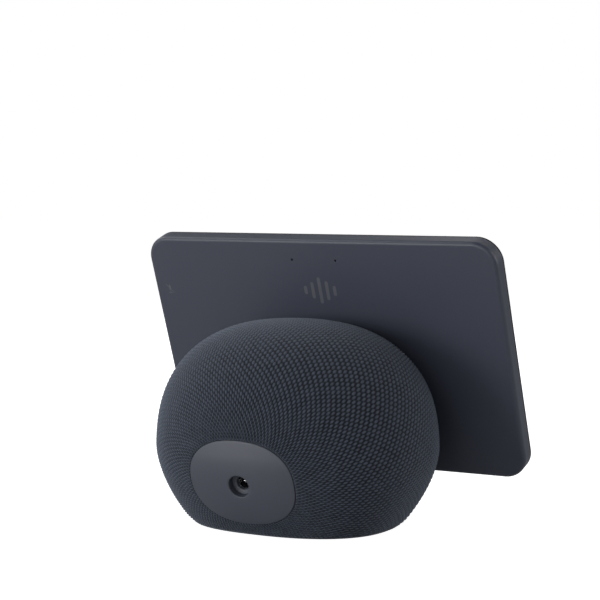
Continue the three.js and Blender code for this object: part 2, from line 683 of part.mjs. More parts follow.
add('base_plate', basePlate(), 'blackPlastic');
FLOOR_COLUMNS.forEach(([x, y], i) => {
  const geometry = screw(2.3, 1.1, 1.1, 8);
  geometry.rotateX(Math.PI);
  geometry.translate(x, y, 3.1);
  add(`base_screw_${i + 1}`, geometry, 'steel');
});
const ballastOutline = superellipse(...BALLAST_HALF_SIZE, FOOT_POWER, [0, BALL_CENTRE_Y]);
const mainBoardOutline = superellipse(...MAIN_BOARD_HALF_SIZE, 3, [0, BALL_CENTRE_Y]);
add('ballast_weight', prismZ(ballastOutline, BASE_PLATE_TOP + GAP, 9.7), 'steel');
add('main_board', prismZ(mainBoardOutline, BOARD_POST_TOP + GAP, 15.6), 'board');
add('main_board_shield', boxBetween([-20, -6, 15.9], [20, 24, 19.5]), 'steel');

function heatSpreader() {
  const plate = boxBetween([-18, -4, 19.8], [18, 22, 21.8]);
  const fins = [-15, -9, -3, 3, 9, 15].map((x) => boxBetween([x - 0.8, -4, 21], [x + 0.8, 22, 29]));
  return join(plate, ...fins);
}

add('heat_spreader', heatSpreader(), 'aluminium');
for (const [name, x] of [['antenna_left', -50], ['antenna_right', 50]]) {
  add(name, boxBetween([x - 0.5, -8, 16], [x + 0.5, 16, 28]), 'board');
}
const footOutline = superellipse(...FOOT_HALF_SIZE, FOOT_POWER, [0, BALL_CENTRE_Y]);
add('foot_pad', prismZ(footOutline, 0, FOOT_HEIGHT), 'rubber');

export default device;
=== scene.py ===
import json
import math

import bmesh
import bpy
import numpy as np
from mathutils import Matrix, Vector


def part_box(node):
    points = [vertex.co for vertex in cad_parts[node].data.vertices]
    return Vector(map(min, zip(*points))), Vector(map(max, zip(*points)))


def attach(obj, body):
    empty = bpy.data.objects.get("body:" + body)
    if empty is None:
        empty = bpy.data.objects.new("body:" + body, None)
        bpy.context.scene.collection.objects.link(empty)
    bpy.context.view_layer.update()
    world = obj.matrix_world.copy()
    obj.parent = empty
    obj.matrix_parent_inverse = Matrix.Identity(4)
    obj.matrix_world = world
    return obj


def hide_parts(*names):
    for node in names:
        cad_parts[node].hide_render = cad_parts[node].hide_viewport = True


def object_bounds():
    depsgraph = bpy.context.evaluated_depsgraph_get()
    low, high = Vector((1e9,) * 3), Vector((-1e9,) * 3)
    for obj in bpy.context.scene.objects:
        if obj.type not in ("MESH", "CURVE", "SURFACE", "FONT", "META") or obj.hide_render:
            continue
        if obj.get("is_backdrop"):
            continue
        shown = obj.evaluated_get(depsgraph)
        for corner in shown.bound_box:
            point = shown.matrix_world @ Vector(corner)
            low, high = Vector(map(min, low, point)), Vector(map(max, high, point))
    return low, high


bl_info = {
    "name": "Smart display",
    "blender": (4, 5, 0),
    "version": (1, 0, 0),
    "location": "View3D > Sidebar > Smart display",
    "description": "Builds the visible pieces of a smart display around its packed CAD frame",
    "category": "Object",
}

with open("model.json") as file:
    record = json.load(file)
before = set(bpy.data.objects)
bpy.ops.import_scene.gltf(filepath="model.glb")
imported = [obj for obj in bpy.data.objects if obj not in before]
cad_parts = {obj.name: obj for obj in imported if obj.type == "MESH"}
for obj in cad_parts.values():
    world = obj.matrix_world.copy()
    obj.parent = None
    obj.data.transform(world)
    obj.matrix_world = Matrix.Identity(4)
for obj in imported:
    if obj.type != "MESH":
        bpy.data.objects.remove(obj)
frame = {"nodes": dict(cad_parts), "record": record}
CAD_LOW, CAD_HIGH = (tuple(corner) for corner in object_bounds())

MM = 0.001
DEVICE = "device"
UP = Vector((0, 0, 1))

# The panel leans back about the long edge; its own frame has x across, z up and y = 0 on its back.
PANEL_TILT = math.radians(20)
PANEL_ORIGIN = Vector((0, -32.24, 84.29)) * MM
PANEL = Matrix.Translation(PANEL_ORIGIN) @ Matrix.Rotation(-PANEL_TILT, 4, "X")

# The loudspeaker base: level sections of a rounded body, in millimetres.
BALL_WAIST = 41.8
BALL_CENTRE_Y = 4.2
BALL_UPPER_POWER = 2.42
BALL_LOWER_POWER = 1.75
BALL_LOWER_DRAW = 0.272
BALL_WAIST_EASE = 0.12
BALL_SECTION_POWER = (2.45, 2.0)
FOOT_TUCK = 0.024
FOOT_TUCK_HEIGHT = 5.0
FOOT_TUCK_POWER = 2.2
SLEEVE_FLOOR = 0.05
# The stitches: share of the leaning strands (half would make round, upright stitches), then how far
# crowns and wale grooves swing about the middle height, and how narrow the crowns are.
STITCH_LEAN = 0.62
CROWN_SWING = 0.34
GROOVE_SWING = 0.16
CROWN_POWER = 1.25
# Share of a stitch's height that lies on the base's outer face, and the hem's rounding in millimetres.
STITCH_LEVEL = 0.85
HEM_ROUNDING = 0.45
# Each wale is four columns of mesh wide and ends at this angle from the plate.
WALE_COLUMNS = 4
WALE_END = math.radians(172)
# Half courses run wider at the sides and widest near the plate; the extra fades over the gather.
COURSE_SPREAD = 0.10
COURSE_GATHER = 0.32
GATHER_LENGTH = 14.0
# The yarn's painted shading: how dark the painted shade in the wale grooves is, what seeing them edge-on adds
# to that shade's contrast and, as a painted sheen, to the brightness, and how uneven the stitches are.
GROOVE_SHADE_STRENGTH = 0.56
EDGE_RIB_SHADE_GAIN = 1.9
EDGE_SHEEN_LIFT = 0.45
YARN_UNEVENNESS = 0.9
# Rays from this inner point cover the base's face; no ray is longer than the reach.
BALL_EYE = np.array([0.0, 0.0, 45.0])
FARTHEST_REACH = 140.0
# Steps of each search by halving, enough for far less than a micrometre.
HALVINGS = 44

PLATE_CENTRE_Z = 28.0
PLATE_FACE_Y = 61.0
PLATE_POWER = 2.3
JACK_ORIGIN = Vector((0, 60.6, 26.5))
JACK_DROOP = math.radians(18)
JACK_AXIS = Vector((0, math.cos(JACK_DROOP), -math.sin(JACK_DROOP)))
RECESS_RADIUS = 5.75
RECESS_LIP = 0.45
RECESS_BORE = 3.45
RECESS_DEPTH = 3.8

# The keys and the microphone holes: places on the panel in millimetres, depth and sizes in metres.
KEY_HEIGHTS = {"mic_off_button": 36.0, "volume_up_button": 20.0, "volume_down_button": 8.0}
KEY_Y = -0.0044
KEY_SIZE = (0.0024, 0.009)
KEY_SLOT_SIZE = (0.0030, 0.0096)
MICROPHONE_PLACES = (-13.1, 13.1)
MICROPHONE_HEIGHT = 54.9
MICROPHONE_HOLE_RADIUS = 0.00066


# ---------------------------------------------------------------- settings


# Sizes and colours that a user may change; each call gives a property its name, description and default.
def length(name, description, value, **limits):
    return bpy.props.FloatProperty(name=name, description=description, default=value, unit="LENGTH", **limits)


def colour(name, description, value):
    return bpy.props.FloatVectorProperty(
        name=name, description=description, default=value, size=3, subtype="COLOR", min=0, max=1)


class PanelSettings(bpy.types.PropertyGroup):
    width: length("Width", "Display from side to side", CAD_HIGH[0] - CAD_LOW[0], min=0.05)
    height: length("Height", "Display along its own slope", 0.1325, min=0.05)
    depth: length("Depth", "Display from back to glass", 0.0095, min=0.002)
    corner: length("Corner radius", "Outline corner of the display", 0.0132)
    back_fillet: length("Back fillet", "Rounding between the back and the sides", 0.0021)
    cover_front: length("Cover front", "Front edge of the rear cover behind the seam", -0.0080)
    mark_height: length("Mark height", "Height of the generic sound mark's middle bar", 0.0150)


class BaseSettings(bpy.types.PropertyGroup):
    half_width: length("Half width", "Half width of the knitted base", 0.0753)
    half_depth: length("Half depth", "Half depth of the knitted base", 0.0594)
    height: length("Height", "Height of the knitted base", 0.1062)
    plate_half_width: length("Plate half width", "Half width of the power plate", 0.0303)
    plate_half_height: length("Plate half height", "Half height of the power plate", 0.0217)
    wales: bpy.props.IntProperty(
        name="Wales", description="Stitch columns around the knit, an even number", default=224, min=40)
    course_pitch: length("Half course", "Distance between staggered stitch rows", 0.00155)
    stitch_depth: length("Stitch depth", "Depth of the holes between stitches", 0.00090)


class FinishSettings(bpy.types.PropertyGroup):
    cover: colour("Cover", "Soft matte plastic of the display's back", (0.0485, 0.0550, 0.0800))
    yarn: colour("Yarn", "Raised stitches of the knit", (0.066, 0.081, 0.112))
    # the yarn shadow is the painted shade colour for the holes between stitches and the wale grooves
    yarn_shadow: colour("Yarn shadow", "Holes between the stitches", (0.0052, 0.0069, 0.0110))
    plate: colour("Plate", "Power plate plastic", (0.0560, 0.0630, 0.0830))
    mark: colour("Mark", "Tone-on-tone marks", (0.105, 0.112, 0.130))
    black: colour("Black plastic", "Inner housings and the front ring", (0.016, 0.017, 0.019))
    rubber: colour("Rubber", "Foot and surrounds", (0.014, 0.014, 0.015))


def colours():
    return bpy.context.scene.smart_finish


# ---------------------------------------------------------------- shader helpers


class Shader:
    """Adds nodes to one tree and links them, with plain numbers allowed anywhere."""

    def __init__(self, tree):
        self.tree = tree

    def node(self, kind, choices=None, **values):
        made = self.tree.nodes.new("ShaderNode" + kind)
        for key, value in (choices or {}).items():
            setattr(made, key, value)
        for key, value in values.items():
            self.put(made.inputs[key.replace("_", " ")], value)
        return made

    def put(self, socket, value):
        if isinstance(value, bpy.types.NodeSocket):
            self.tree.links.new(value, socket)
        else:
            socket.default_value = value

    def math(self, operation, first, second=0.0):
        made = self.tree.nodes.new("ShaderNodeMath")
        made.operation = operation
        for socket, value in zip(made.inputs, (first, second)):
            self.put(socket, value)
        return made.outputs[0]

    def ramp(self, value, low, high, to_low=0.0, to_high=1.0):
        made = self.tree.nodes.new("ShaderNodeMapRange")
        made.interpolation_type = "SMOOTHSTEP"
        for name, number in (("Value", value), ("From Min", low), ("From Max", high),
                             ("To Min", to_low), ("To Max", to_high)):
            self.put(made.inputs[name], number)
        return made.outputs["Result"]

    def mix(self, share, first, second, blend="MIX"):
        made = self.tree.nodes.new("ShaderNodeMix")
        made.data_type = "RGBA"
        made.blend_type = blend
        self.put(made.inputs[0], share)
        self.put(made.inputs[6], first)
        self.put(made.inputs[7], second)
        return made.outputs[2]

    def noise(self, scale, detail=2.0, roughness=0.5, vector=None):
        made = self.tree.nodes.new("ShaderNodeTexNoise")
        made.inputs["Scale"].default_value = scale
        made.inputs["Detail"].default_value = detail
        made.inputs["Roughness"].default_value = roughness
        if vector is not None:
            self.put(made.inputs["Vector"], vector)
        return made.outputs[0]

    def place(self):
        return self.node("TexCoord").outputs["Object"]


def rgba(value):
    return (*tuple(value)[:3], 1.0)


def effect(name, inputs, outputs, build):
    """A shader node group, built once: inputs are (name, default), outputs (name, socket type)."""
    found = bpy.data.node_groups.get(name)
    if found:
        return found
    tree = bpy.data.node_groups.new(name, "ShaderNodeTree")
    for label, default in inputs:
        kind = "NodeSocketColor" if hasattr(default, "__len__") else "NodeSocketFloat"
        tree.interface.new_socket(name=label, in_out="INPUT", socket_type=kind).default_value = default
    for label, kind in outputs:
        tree.interface.new_socket(name=label, in_out="OUTPUT", socket_type=kind)
    build(Shader(tree), tree.nodes.new("NodeGroupInput"), tree.nodes.new("NodeGroupOutput"))
    return tree


def moulded_grain():
    """Fine even grain of a moulded surface, with broad soft cloudiness and a trace of dust."""

    def build(s, given, out):
        place = s.place()
        fine = s.node("TexNoise", Scale=given.outputs["Grain scale"], Detail=3.0, Vector=place).outputs[0]
        broad = s.noise(22.0, 3.0, 0.55, place)
        specks = s.ramp(s.noise(1900.0, 1.0, 0.4, place), 0.74, 0.80)
        cloud = s.math("MULTIPLY", s.math("SUBTRACT", broad, 0.5), given.outputs["Cloud"])
        tint = s.math("ADD", 1.0, cloud)
        grey = s.node("CombineColor", Red=tint, Green=tint, Blue=tint).outputs[0]
        shade = s.mix(1.0, given.outputs["Colour"], grey, "MULTIPLY")
        dusty = s.mix(s.math("MULTIPLY", specks, given.outputs["Dust"]), shade, (0.35, 0.35, 0.36, 1.0))
        s.put(out.inputs["Colour"], dusty)
        rough = s.math("ADD", given.outputs["Roughness"],
                       s.math("MULTIPLY", s.math("SUBTRACT", fine, 0.5), given.outputs["Rough change"]))
        s.put(out.inputs["Roughness"], s.math("ADD", rough, s.math("MULTIPLY", cloud, 0.35)))
        s.put(out.inputs["Height"], fine)

    return effect("moulded_grain",
                  (("Colour", (0.1, 0.1, 0.1, 1.0)), ("Roughness", 0.5), ("Rough change", 0.1),
                   ("Grain scale", 3000.0), ("Cloud", 0.12), ("Dust", 0.1)),
                  (("Colour", "NodeSocketColor"), ("Roughness", "NodeSocketFloat"),
                   ("Height", "NodeSocketFloat")), build)


def edge_wear():
    """A mask of convex edges, broken up by noise, for bright worn metal."""

    def build(s, given, out):
        bevel = s.node("Bevel", {"samples": 4}, Radius=given.outputs["Width"])
        plain = s.node("NewGeometry")
        turn = s.node("VectorMath", {"operation": "DOT_PRODUCT"})
        s.put(turn.inputs[0], bevel.outputs[0])
        s.put(turn.inputs[1], plain.outputs["Normal"])
        bent = s.ramp(turn.outputs["Value"], 0.995, 0.90)
        broken = s.ramp(s.noise(600.0, 3.0, 0.6, s.place()), 0.35, 0.65)
        s.put(out.inputs["Mask"], s.math("MULTIPLY", bent, broken))

    return effect("edge_wear", (("Width", 0.0003),), (("Mask", "NodeSocketFloat"),), build)


def brushed_streaks():
    """Long fine streaks along X, as on rolled or brushed sheet."""

    def build(s, given, out):
        long = s.node("Mapping", Vector=s.place())
        long.inputs["Scale"].default_value = (0.04, 1.0, 1.0)
        streak = s.node("TexNoise", Scale=given.outputs["Scale"], Detail=4.0,
                        Vector=long.outputs[0]).outputs[0]
        s.put(out.inputs["Streak"], streak)

    return effect("brushed_streaks", (("Scale", 2500.0),), (("Streak", "NodeSocketFloat"),), build)


def new_material(name):
    made = bpy.data.materials.new(name)
    made.use_nodes = True
    made.node_tree.nodes.clear()
    s = Shader(made.node_tree)
    out = s.node("OutputMaterial")
    shader = s.node("BsdfPrincipled")
    s.tree.links.new(shader.outputs[0], out.inputs[0])
    return made, s, shader


def bump_normal(s, shader, height, distance, strength=1.0):
    bump = s.node("Bump", Height=height, Strength=strength, Distance=distance)
    s.put(shader.inputs["Normal"], bump.outputs[0])


def grained(name, base, roughness, grain=3000.0, cloud=0.12, dust=0.1, rough_change=0.1,
            relief=0.00002, specular=0.5, coat=0.0, metallic=0.0):
    """Moulded plastic, rubber, board or cast metal, told apart by grain, cloudiness and gloss."""
    found = bpy.data.materials.get(name)
    if found:
        return found
    made, s, shader = new_material(name)
    skin = s.node("Group", {"node_tree": moulded_grain()})
    for label, value in (("Colour", rgba(base)), ("Roughness", roughness), ("Rough change", rough_change),
                         ("Grain scale", grain), ("Cloud", cloud), ("Dust", dust)):
        skin.inputs[label].default_value = value
    s.put(shader.inputs["Base Color"], skin.outputs["Colour"])
    s.put(shader.inputs["Roughness"], skin.outputs["Roughness"])
    shader.inputs["Specular IOR Level"].default_value = specular
    shader.inputs["Metallic"].default_value = metallic
    shader.inputs["Coat Weight"].default_value = coat
    bump_normal(s, shader, skin.outputs["Height"], relief)
    return made


def worn_metal(name, base, roughness, streaks=2500.0, cast=False):
    """Metal with rolled streaks or a cast skin, and brighter worn edges."""
    found = bpy.data.materials.get(name)
    if found:
        return found
    made, s, shader = new_material(name)
    wear = s.node("Group", {"node_tree": edge_wear()})
    if cast:
        skin = s.noise(900.0, 5.0, 0.6, s.place())
    else:
        skin = s.node("Group", {"node_tree": brushed_streaks()}, Scale=streaks).outputs[0]
    shade = s.mix(skin, rgba([x * 0.82 for x in base]), rgba(base))
    bright = s.mix(wear.outputs["Mask"], shade, rgba([min(1.0, x * 1.25) for x in base]))
    s.put(shader.inputs["Base Color"], bright)
    rough = s.ramp(skin, 0.3, 0.7, roughness * 0.85, roughness * 1.2)
    s.put(shader.inputs["Roughness"], rough)
    shader.inputs["Metallic"].default_value = 1.0
    bump_normal(s, shader, skin, 0.00003 if cast else 0.000008)
    return made


# ---------------------------------------------------------------- the object's finishes


def cover_finish():
    return grained("cover_graphite", colours().cover, 0.46, grain=2600.0, cloud=0.10, dust=0.05,
                   rough_change=0.10, relief=0.000012, specular=0.5)


def plate_finish():
    return grained("plate_graphite", colours().plate, 0.50, grain=2400.0, cloud=0.12, dust=0.08,
                   rough_change=0.10, relief=0.000014, specular=0.5)


def mark_finish():
    return grained("mark_gloss", colours().mark, 0.30, grain=3200.0, cloud=0.08, dust=0.03,
                   rough_change=0.06, relief=0.000006)


def black_finish():
    return grained("black_plastic", colours().black, 0.5, grain=2200.0, cloud=0.2, dust=0.15,
                   rough_change=0.16, relief=0.00002)


def socket_finish():
    return grained("socket_gloss", colours().black, 0.16, grain=3400.0, cloud=0.1, dust=0.02,
                   rough_change=0.06, relief=0.000004, specular=0.7, coat=0.5)


def ring_finish():
    return grained("front_ring_satin", colours().black, 0.38, grain=3000.0, cloud=0.1, dust=0.05,
                   rough_change=0.08, relief=0.00001)


def rubber_finish():
    return grained("foot_rubber", colours().rubber, 0.78, grain=1500.0, cloud=0.3, dust=0.5,
                   rough_change=0.2, relief=0.00004, specular=0.3)


def knit_finish():
    """Bird's-eye knit: raised stitches with painted shade in the holes and wale grooves from the stitch map,
    a painted sheen where it is seen edge-on, twisted yarn over them.
    """
    finish = colours()
    made, s, shader = new_material("knit_yarn")
    stitches = s.node("UVMap", {"uv_map": "stitch_map"}).outputs[0]
    split = s.node("SeparateXYZ", Vector=stitches)
    wale, course = split.outputs[0], split.outputs[1]
    leaning, crossing = (s.math("COSINE", s.math("MULTIPLY", s.math(sign, wale, course), math.pi))
                         for sign in ("ADD", "SUBTRACT"))
    crown = s.math("ADD", s.math("MULTIPLY", leaning, STITCH_LEAN),
                   s.math("MULTIPLY", crossing, 1 - STITCH_LEAN))
    place = s.place()
    warp = s.noise(260.0, 2.0, 0.5, place)
    uneven = s.math("ADD", crown, s.math("MULTIPLY", s.math("SUBTRACT", warp, 0.5), YARN_UNEVENNESS))
    # painted shade in the grooves between wales
    groove = s.math("MULTIPLY", s.math("COSINE", s.math("MULTIPLY", wale, 2 * math.pi)), GROOVE_SHADE_STRENGTH)
    # seen edge-on, the raised stitches hide the holes, so their painted shade fades, the painted shade in the
    # grooves between wales grows, and a painted sheen lifts the brightness
    edge_on = s.ramp(s.node("LayerWeight", Blend=0.5).outputs["Facing"], 0.40, 0.85, 0.0, 0.8)
    shown = s.math("MULTIPLY", uneven, s.math("SUBTRACT", 1.0, edge_on))
    rib_shade = s.math("MULTIPLY", groove, s.math("ADD", 1.0, s.math("MULTIPLY", edge_on, EDGE_RIB_SHADE_GAIN)))
    shade_and_sheen = s.math("ADD", s.math("ADD", shown, rib_shade), s.math("MULTIPLY", edge_on, EDGE_SHEEN_LIFT))
    lit_yarn_share = s.ramp(shade_and_sheen, -0.95, 1.05)
    # each stitch is dyed a little differently
    per_stitch = s.node("TexNoise", {"noise_dimensions": "2D"}, Scale=0.9, Detail=1.0,
                        Vector=stitches).outputs[0]
    stretched = s.node("Mapping", Vector=stitches)
    stretched.inputs["Scale"].default_value = (7.0, 2.2, 1.0)
    strand = s.node("TexNoise", {"noise_dimensions": "2D"}, Scale=2.2, Detail=2.0,
                    Vector=stretched.outputs[0]).outputs[0]
    fibre = s.noise(5200.0, 2.0, 0.6, place)
    yarn = s.mix(s.ramp(strand, 0.3, 0.7), rgba([x * 0.72 for x in finish.yarn]),
                 rgba([min(1.0, x * 1.25) for x in finish.yarn]))
    yarn = s.mix(s.ramp(per_stitch, 0.35, 0.65, 0.0, 0.35), yarn, rgba([x * 0.55 for x in finish.yarn]))
    # the base colour mixes the painted shade colour in the holes and grooves with the yarn on the crowns; the
    # painted sheen pushes it towards the yarn
    s.put(shader.inputs["Base Color"], s.mix(lit_yarn_share, rgba(finish.yarn_shadow), yarn))
    s.put(shader.inputs["Roughness"], s.ramp(fibre, 0.2, 0.8, 0.78, 0.98))
    shader.inputs["Specular IOR Level"].default_value = 0.25
    shader.inputs["Sheen Weight"].default_value = 0.38
    shader.inputs["Sheen Roughness"].default_value = 0.45
    shader.inputs["Sheen Tint"].default_value = (0.62, 0.68, 0.80, 1.0)
    height = s.math("ADD", s.math("MULTIPLY", strand, 0.6), s.math("MULTIPLY", fibre, 0.4))
    bump_normal(s, shader, height, 0.00016, 0.8)
    return made


def glass_finish():
    """Cover glass over a dark panel: black border, faint panel area, a camera window and a sensor dot."""
    made, s, shader = new_material("cover_glass_black")
    split = s.node("SeparateXYZ", Vector=s.node("UVMap", {"uv_map": "panel_map"}).outputs[0])
    x, z = split.outputs[0], split.outputs[1]

    def within(value, half, soft=0.0002):
        return s.ramp(s.math("ABSOLUTE", value), half + soft, half - soft)

    def disc(centre_x, centre_z, radius, soft=0.0001):
        dx = s.math("SUBTRACT", x, centre_x)
        dz = s.math("SUBTRACT", z, centre_z)
        far = s.math("SQRT", s.math("ADD", s.math("MULTIPLY", dx, dx), s.math("MULTIPLY", dz, dz)))
        return s.ramp(far, radius + soft, radius - soft)

    screen = s.math("MULTIPLY", within(x, 0.0955), within(z, 0.0580))
    window, ring, lens = (disc(0.0, 0.0612, r) for r in (0.0031, 0.0019, 0.0012))
    sensor = disc(0.016, 0.0612, 0.0011)
    smear = s.noise(14.0, 4.0, 0.6, s.place())
    base = s.mix(screen, (0.0035, 0.0036, 0.0040, 1.0), (0.0070, 0.0076, 0.0095, 1.0))
    base = s.mix(window, base, (0.0012, 0.0012, 0.0014, 1.0))
    base = s.mix(ring, base, (0.020, 0.020, 0.023, 1.0))
    base = s.mix(lens, base, (0.0020, 0.0022, 0.0060, 1.0))
    base = s.mix(sensor, base, (0.016, 0.012, 0.014, 1.0))
    s.put(shader.inputs["Base Color"], base)
    s.put(shader.inputs["Roughness"], s.ramp(smear, 0.3, 0.75, 0.035, 0.085))
    shader.inputs["IOR"].default_value = 1.52
    shader.inputs["Coat Weight"].default_value = 0.35
    shader.inputs["Coat Roughness"].default_value = 0.03
    bump_normal(s, shader, smear, 0.00002, 0.3)
    return made


def board_finish():
    """Green solder mask with faint copper tracks under it."""
    found = bpy.data.materials.get("circuit_board")
    if found:
        return found
    made, s, shader = new_material("circuit_board")
    tracks = s.node("TexBrick", {"offset": 0.5}, Scale=180.0, Mortar_Size=0.06)
    s.put(tracks.inputs["Vector"], s.place())
    lines = tracks.outputs["Fac"]
    shade = s.mix(lines, (0.010, 0.055, 0.028, 1.0), (0.022, 0.115, 0.055, 1.0))
    patches = s.ramp(s.noise(90.0), 0.45, 0.6, 0.0, 0.4)
    s.put(shader.inputs["Base Color"], s.mix(patches, shade, (0.008, 0.04, 0.02, 1.0)))
    s.put(shader.inputs["Roughness"], s.ramp(s.noise(700.0), 0.3, 0.7, 0.28, 0.45))
    shader.inputs["Coat Weight"].default_value = 0.3
    bump_normal(s, shader, lines, 0.00003)
    return made


def cone_finish():
    """Pressed paper cone: fibres with a faint pulp mottle."""
    found = bpy.data.materials.get("cone_paper")
    if found:
        return found
    made, s, shader = new_material("cone_paper")
    fibres = s.node("TexNoise", Scale=900.0, Detail=5.0, Roughness=0.65, Distortion=1.6).outputs[0]
    mottle = s.mix(s.ramp(fibres, 0.35, 0.65), (0.010, 0.010, 0.011, 1.0), (0.026, 0.026, 0.028, 1.0))
    s.put(shader.inputs["Base Color"], mottle)
    s.put(shader.inputs["Roughness"], s.ramp(fibres, 0.3, 0.7, 0.75, 0.95))
    bump_normal(s, shader, fibres, 0.0001)
    return made


def slot_finishes():
    """The record's material slots, each with the finish that its CAD nodes get."""
    return {
        "graphite_plastic": cover_finish(),
        "knit_fabric": black_finish(),
        "black_plastic": black_finish(),
        "cover_glass": grained("lens_glass", (0.006, 0.006, 0.010), 0.06, grain=1200.0, cloud=0.1, dust=0.0,
                               rough_change=0.04, relief=0.000002, coat=0.6),
        "lcd_glass": grained("lcd_glass", (0.010, 0.011, 0.014), 0.2, grain=4200.0, cloud=0.15, dust=0.0,
                             rough_change=0.05, relief=0.000003, coat=0.3),
        "diffuser_white": grained("diffuser_white", (0.78, 0.79, 0.80), 0.55, grain=1800.0, cloud=0.06),
        "cast_aluminium": worn_metal("cast_aluminium", (0.62, 0.63, 0.64), 0.42, cast=True),
        "zinc_steel": worn_metal("zinc_steel", (0.52, 0.53, 0.54), 0.30),
        "gold_contact": worn_metal("gold_contact", (0.83, 0.61, 0.26), 0.24),
        "circuit_board": board_finish(),
        "ferrite": grained("ferrite", (0.020, 0.020, 0.022), 0.62, grain=1100.0, cloud=0.3, dust=0.1,
                           relief=0.00005, metallic=0.3),
        "speaker_cone": cone_finish(),
        "black_rubber": rubber_finish(),
        "polyimide": grained("polyimide_film", (0.32, 0.13, 0.025), 0.34, grain=900.0, cloud=0.25, dust=0.0,
                             rough_change=0.1, relief=0.00001, coat=0.2),
    }


# ---------------------------------------------------------------- mesh helpers


def finish_piece(name, mesh, material, body=DEVICE, stands_for=(), smooth_angle=35.0, weighted=True):
    """Makes the piece's object, shades it and ties it to its CAD body."""
    piece = bpy.data.objects.new(name, mesh)
    bpy.context.scene.collection.objects.link(piece)
    mesh.materials.append(material)
    mesh.polygons.foreach_set("use_smooth", [True] * len(mesh.polygons))
    if smooth_angle:
        mesh.set_sharp_from_angle(angle=math.radians(smooth_angle))
    if weighted:
        weight_normals(piece, 80)
    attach(piece, body)
    if stands_for:
        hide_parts(*stands_for)
    return piece


def weight_normals(piece, weight):
    """Lets the large faces lead the shading, and keeps the sharp edges."""
    normals = piece.modifiers.new("weighted_normals", "WEIGHTED_NORMAL")
    normals.keep_sharp = True
    normals.weight = weight


def mesh_from(name, points, faces):
    mesh = bpy.data.meshes.new(name)
    mesh.from_pydata([tuple(p) for p in points], [], faces)
    mesh.validate()
    mesh.update()
    return mesh


def closed_mesh(name, points, faces, place=None):
    """A closed mesh with its faces turned outward, moved to its place if one is given."""
    mesh = mesh_from(name, points, faces)
    work = bmesh.new()
    work.from_mesh(mesh)
    bmesh.ops.recalc_face_normals(work, faces=work.faces)
    work.to_mesh(mesh)
    work.free()
    if place is not None:
        mesh.transform(place)
    return mesh


def ring_faces(rings, count, capped=True, looped=False):
    """Quads between rings of count points each, with n-gons over the ends or the last ring joined on."""
    faces = []
    last = rings if looped else rings - 1
    for ring in range(last):
        here, there = ring * count, ((ring + 1) % rings) * count
        faces += [(here + i, here + (i + 1) % count, there + (i + 1) % count, there + i)
                  for i in range(count)]
    if capped and not looped:
        faces.append(tuple(reversed(range(count))))
        faces.append(tuple(range((rings - 1) * count, rings * count)))
    return faces


def quarter(radius, degrees):
    """How far a quarter round falls short of its corner along both of its directions, at each angle."""
    return [(radius * (1 - math.sin(math.radians(a))), radius * (1 - math.cos(math.radians(a))))
            for a in degrees]


def rounded_outline(panel, inset, steps):
    """The display's outline in x and z, pulled in by an inset, with the same count of points at any inset."""
    corner = panel.corner
    radius = max(corner - inset, 0.0002)
    centre_x, centre_z = panel.width / 2 - corner, panel.height / 2 - corner
    points = []
    for number, (side_x, side_z) in enumerate(((1, 1), (-1, 1), (-1, -1), (1, -1))):
        for step in range(steps + 1):
            angle = math.pi / 2 * (number + step / steps)
            points.append((side_x * centre_x + radius * math.cos(angle),
                           side_z * centre_z + radius * math.sin(angle)))
    return points


def panel_loft(profile, panel, looped=False, steps=24):
    """Rings of the display's outline at each (inset, y) of a profile, in the panel's frame."""
    points = []
    for inset, y in profile:
        points += [(x, y, z) for x, z in rounded_outline(panel, inset, steps)]
    return points, ring_faces(len(profile), 4 * (steps + 1), looped=looped)


def turned(profile, steps=48):
    """A closed solid of revolution about Z from (radius, height) points; zero radii close the ends."""
    points, rings = [], []
    for radius, height in profile:
        rings.append(len(points))
        if radius == 0:
            points.append((0.0, 0.0, height))
        else:
            angles = [2 * math.pi * i / steps for i in range(steps)]
            points += [(radius * math.cos(a), radius * math.sin(a), height) for a in angles]
    faces = []
    loop = list(zip(profile, rings))
    closed = profile[0][0] != 0
    pairs = list(zip(loop, loop[1:] + loop[:1])) if closed else list(zip(loop, loop[1:]))
    for ((r1, _), a), ((r2, _), b) in pairs:
        for i in range(steps):
            j = (i + 1) % steps
            if r1 == 0:
                faces.append((a, b + j, b + i))
            elif r2 == 0:
                faces.append((a + i, a + j, b))
            else:
                faces.append((a + i, a + j, b + j, b + i))
    return points, faces


def jack_place():
    turn = UP.rotation_difference(JACK_AXIS).to_matrix().to_4x4()
    return Matrix.Translation(JACK_ORIGIN * MM) @ turn


def superellipse(half_width, half_height, power, angle):
    c, s = math.cos(angle), math.sin(angle)
    reach = (abs(c / half_width) ** power + abs(s / half_height) ** power) ** (-1 / power)
    return reach * c, reach * s


# ---------------------------------------------------------------- the base's rounded body


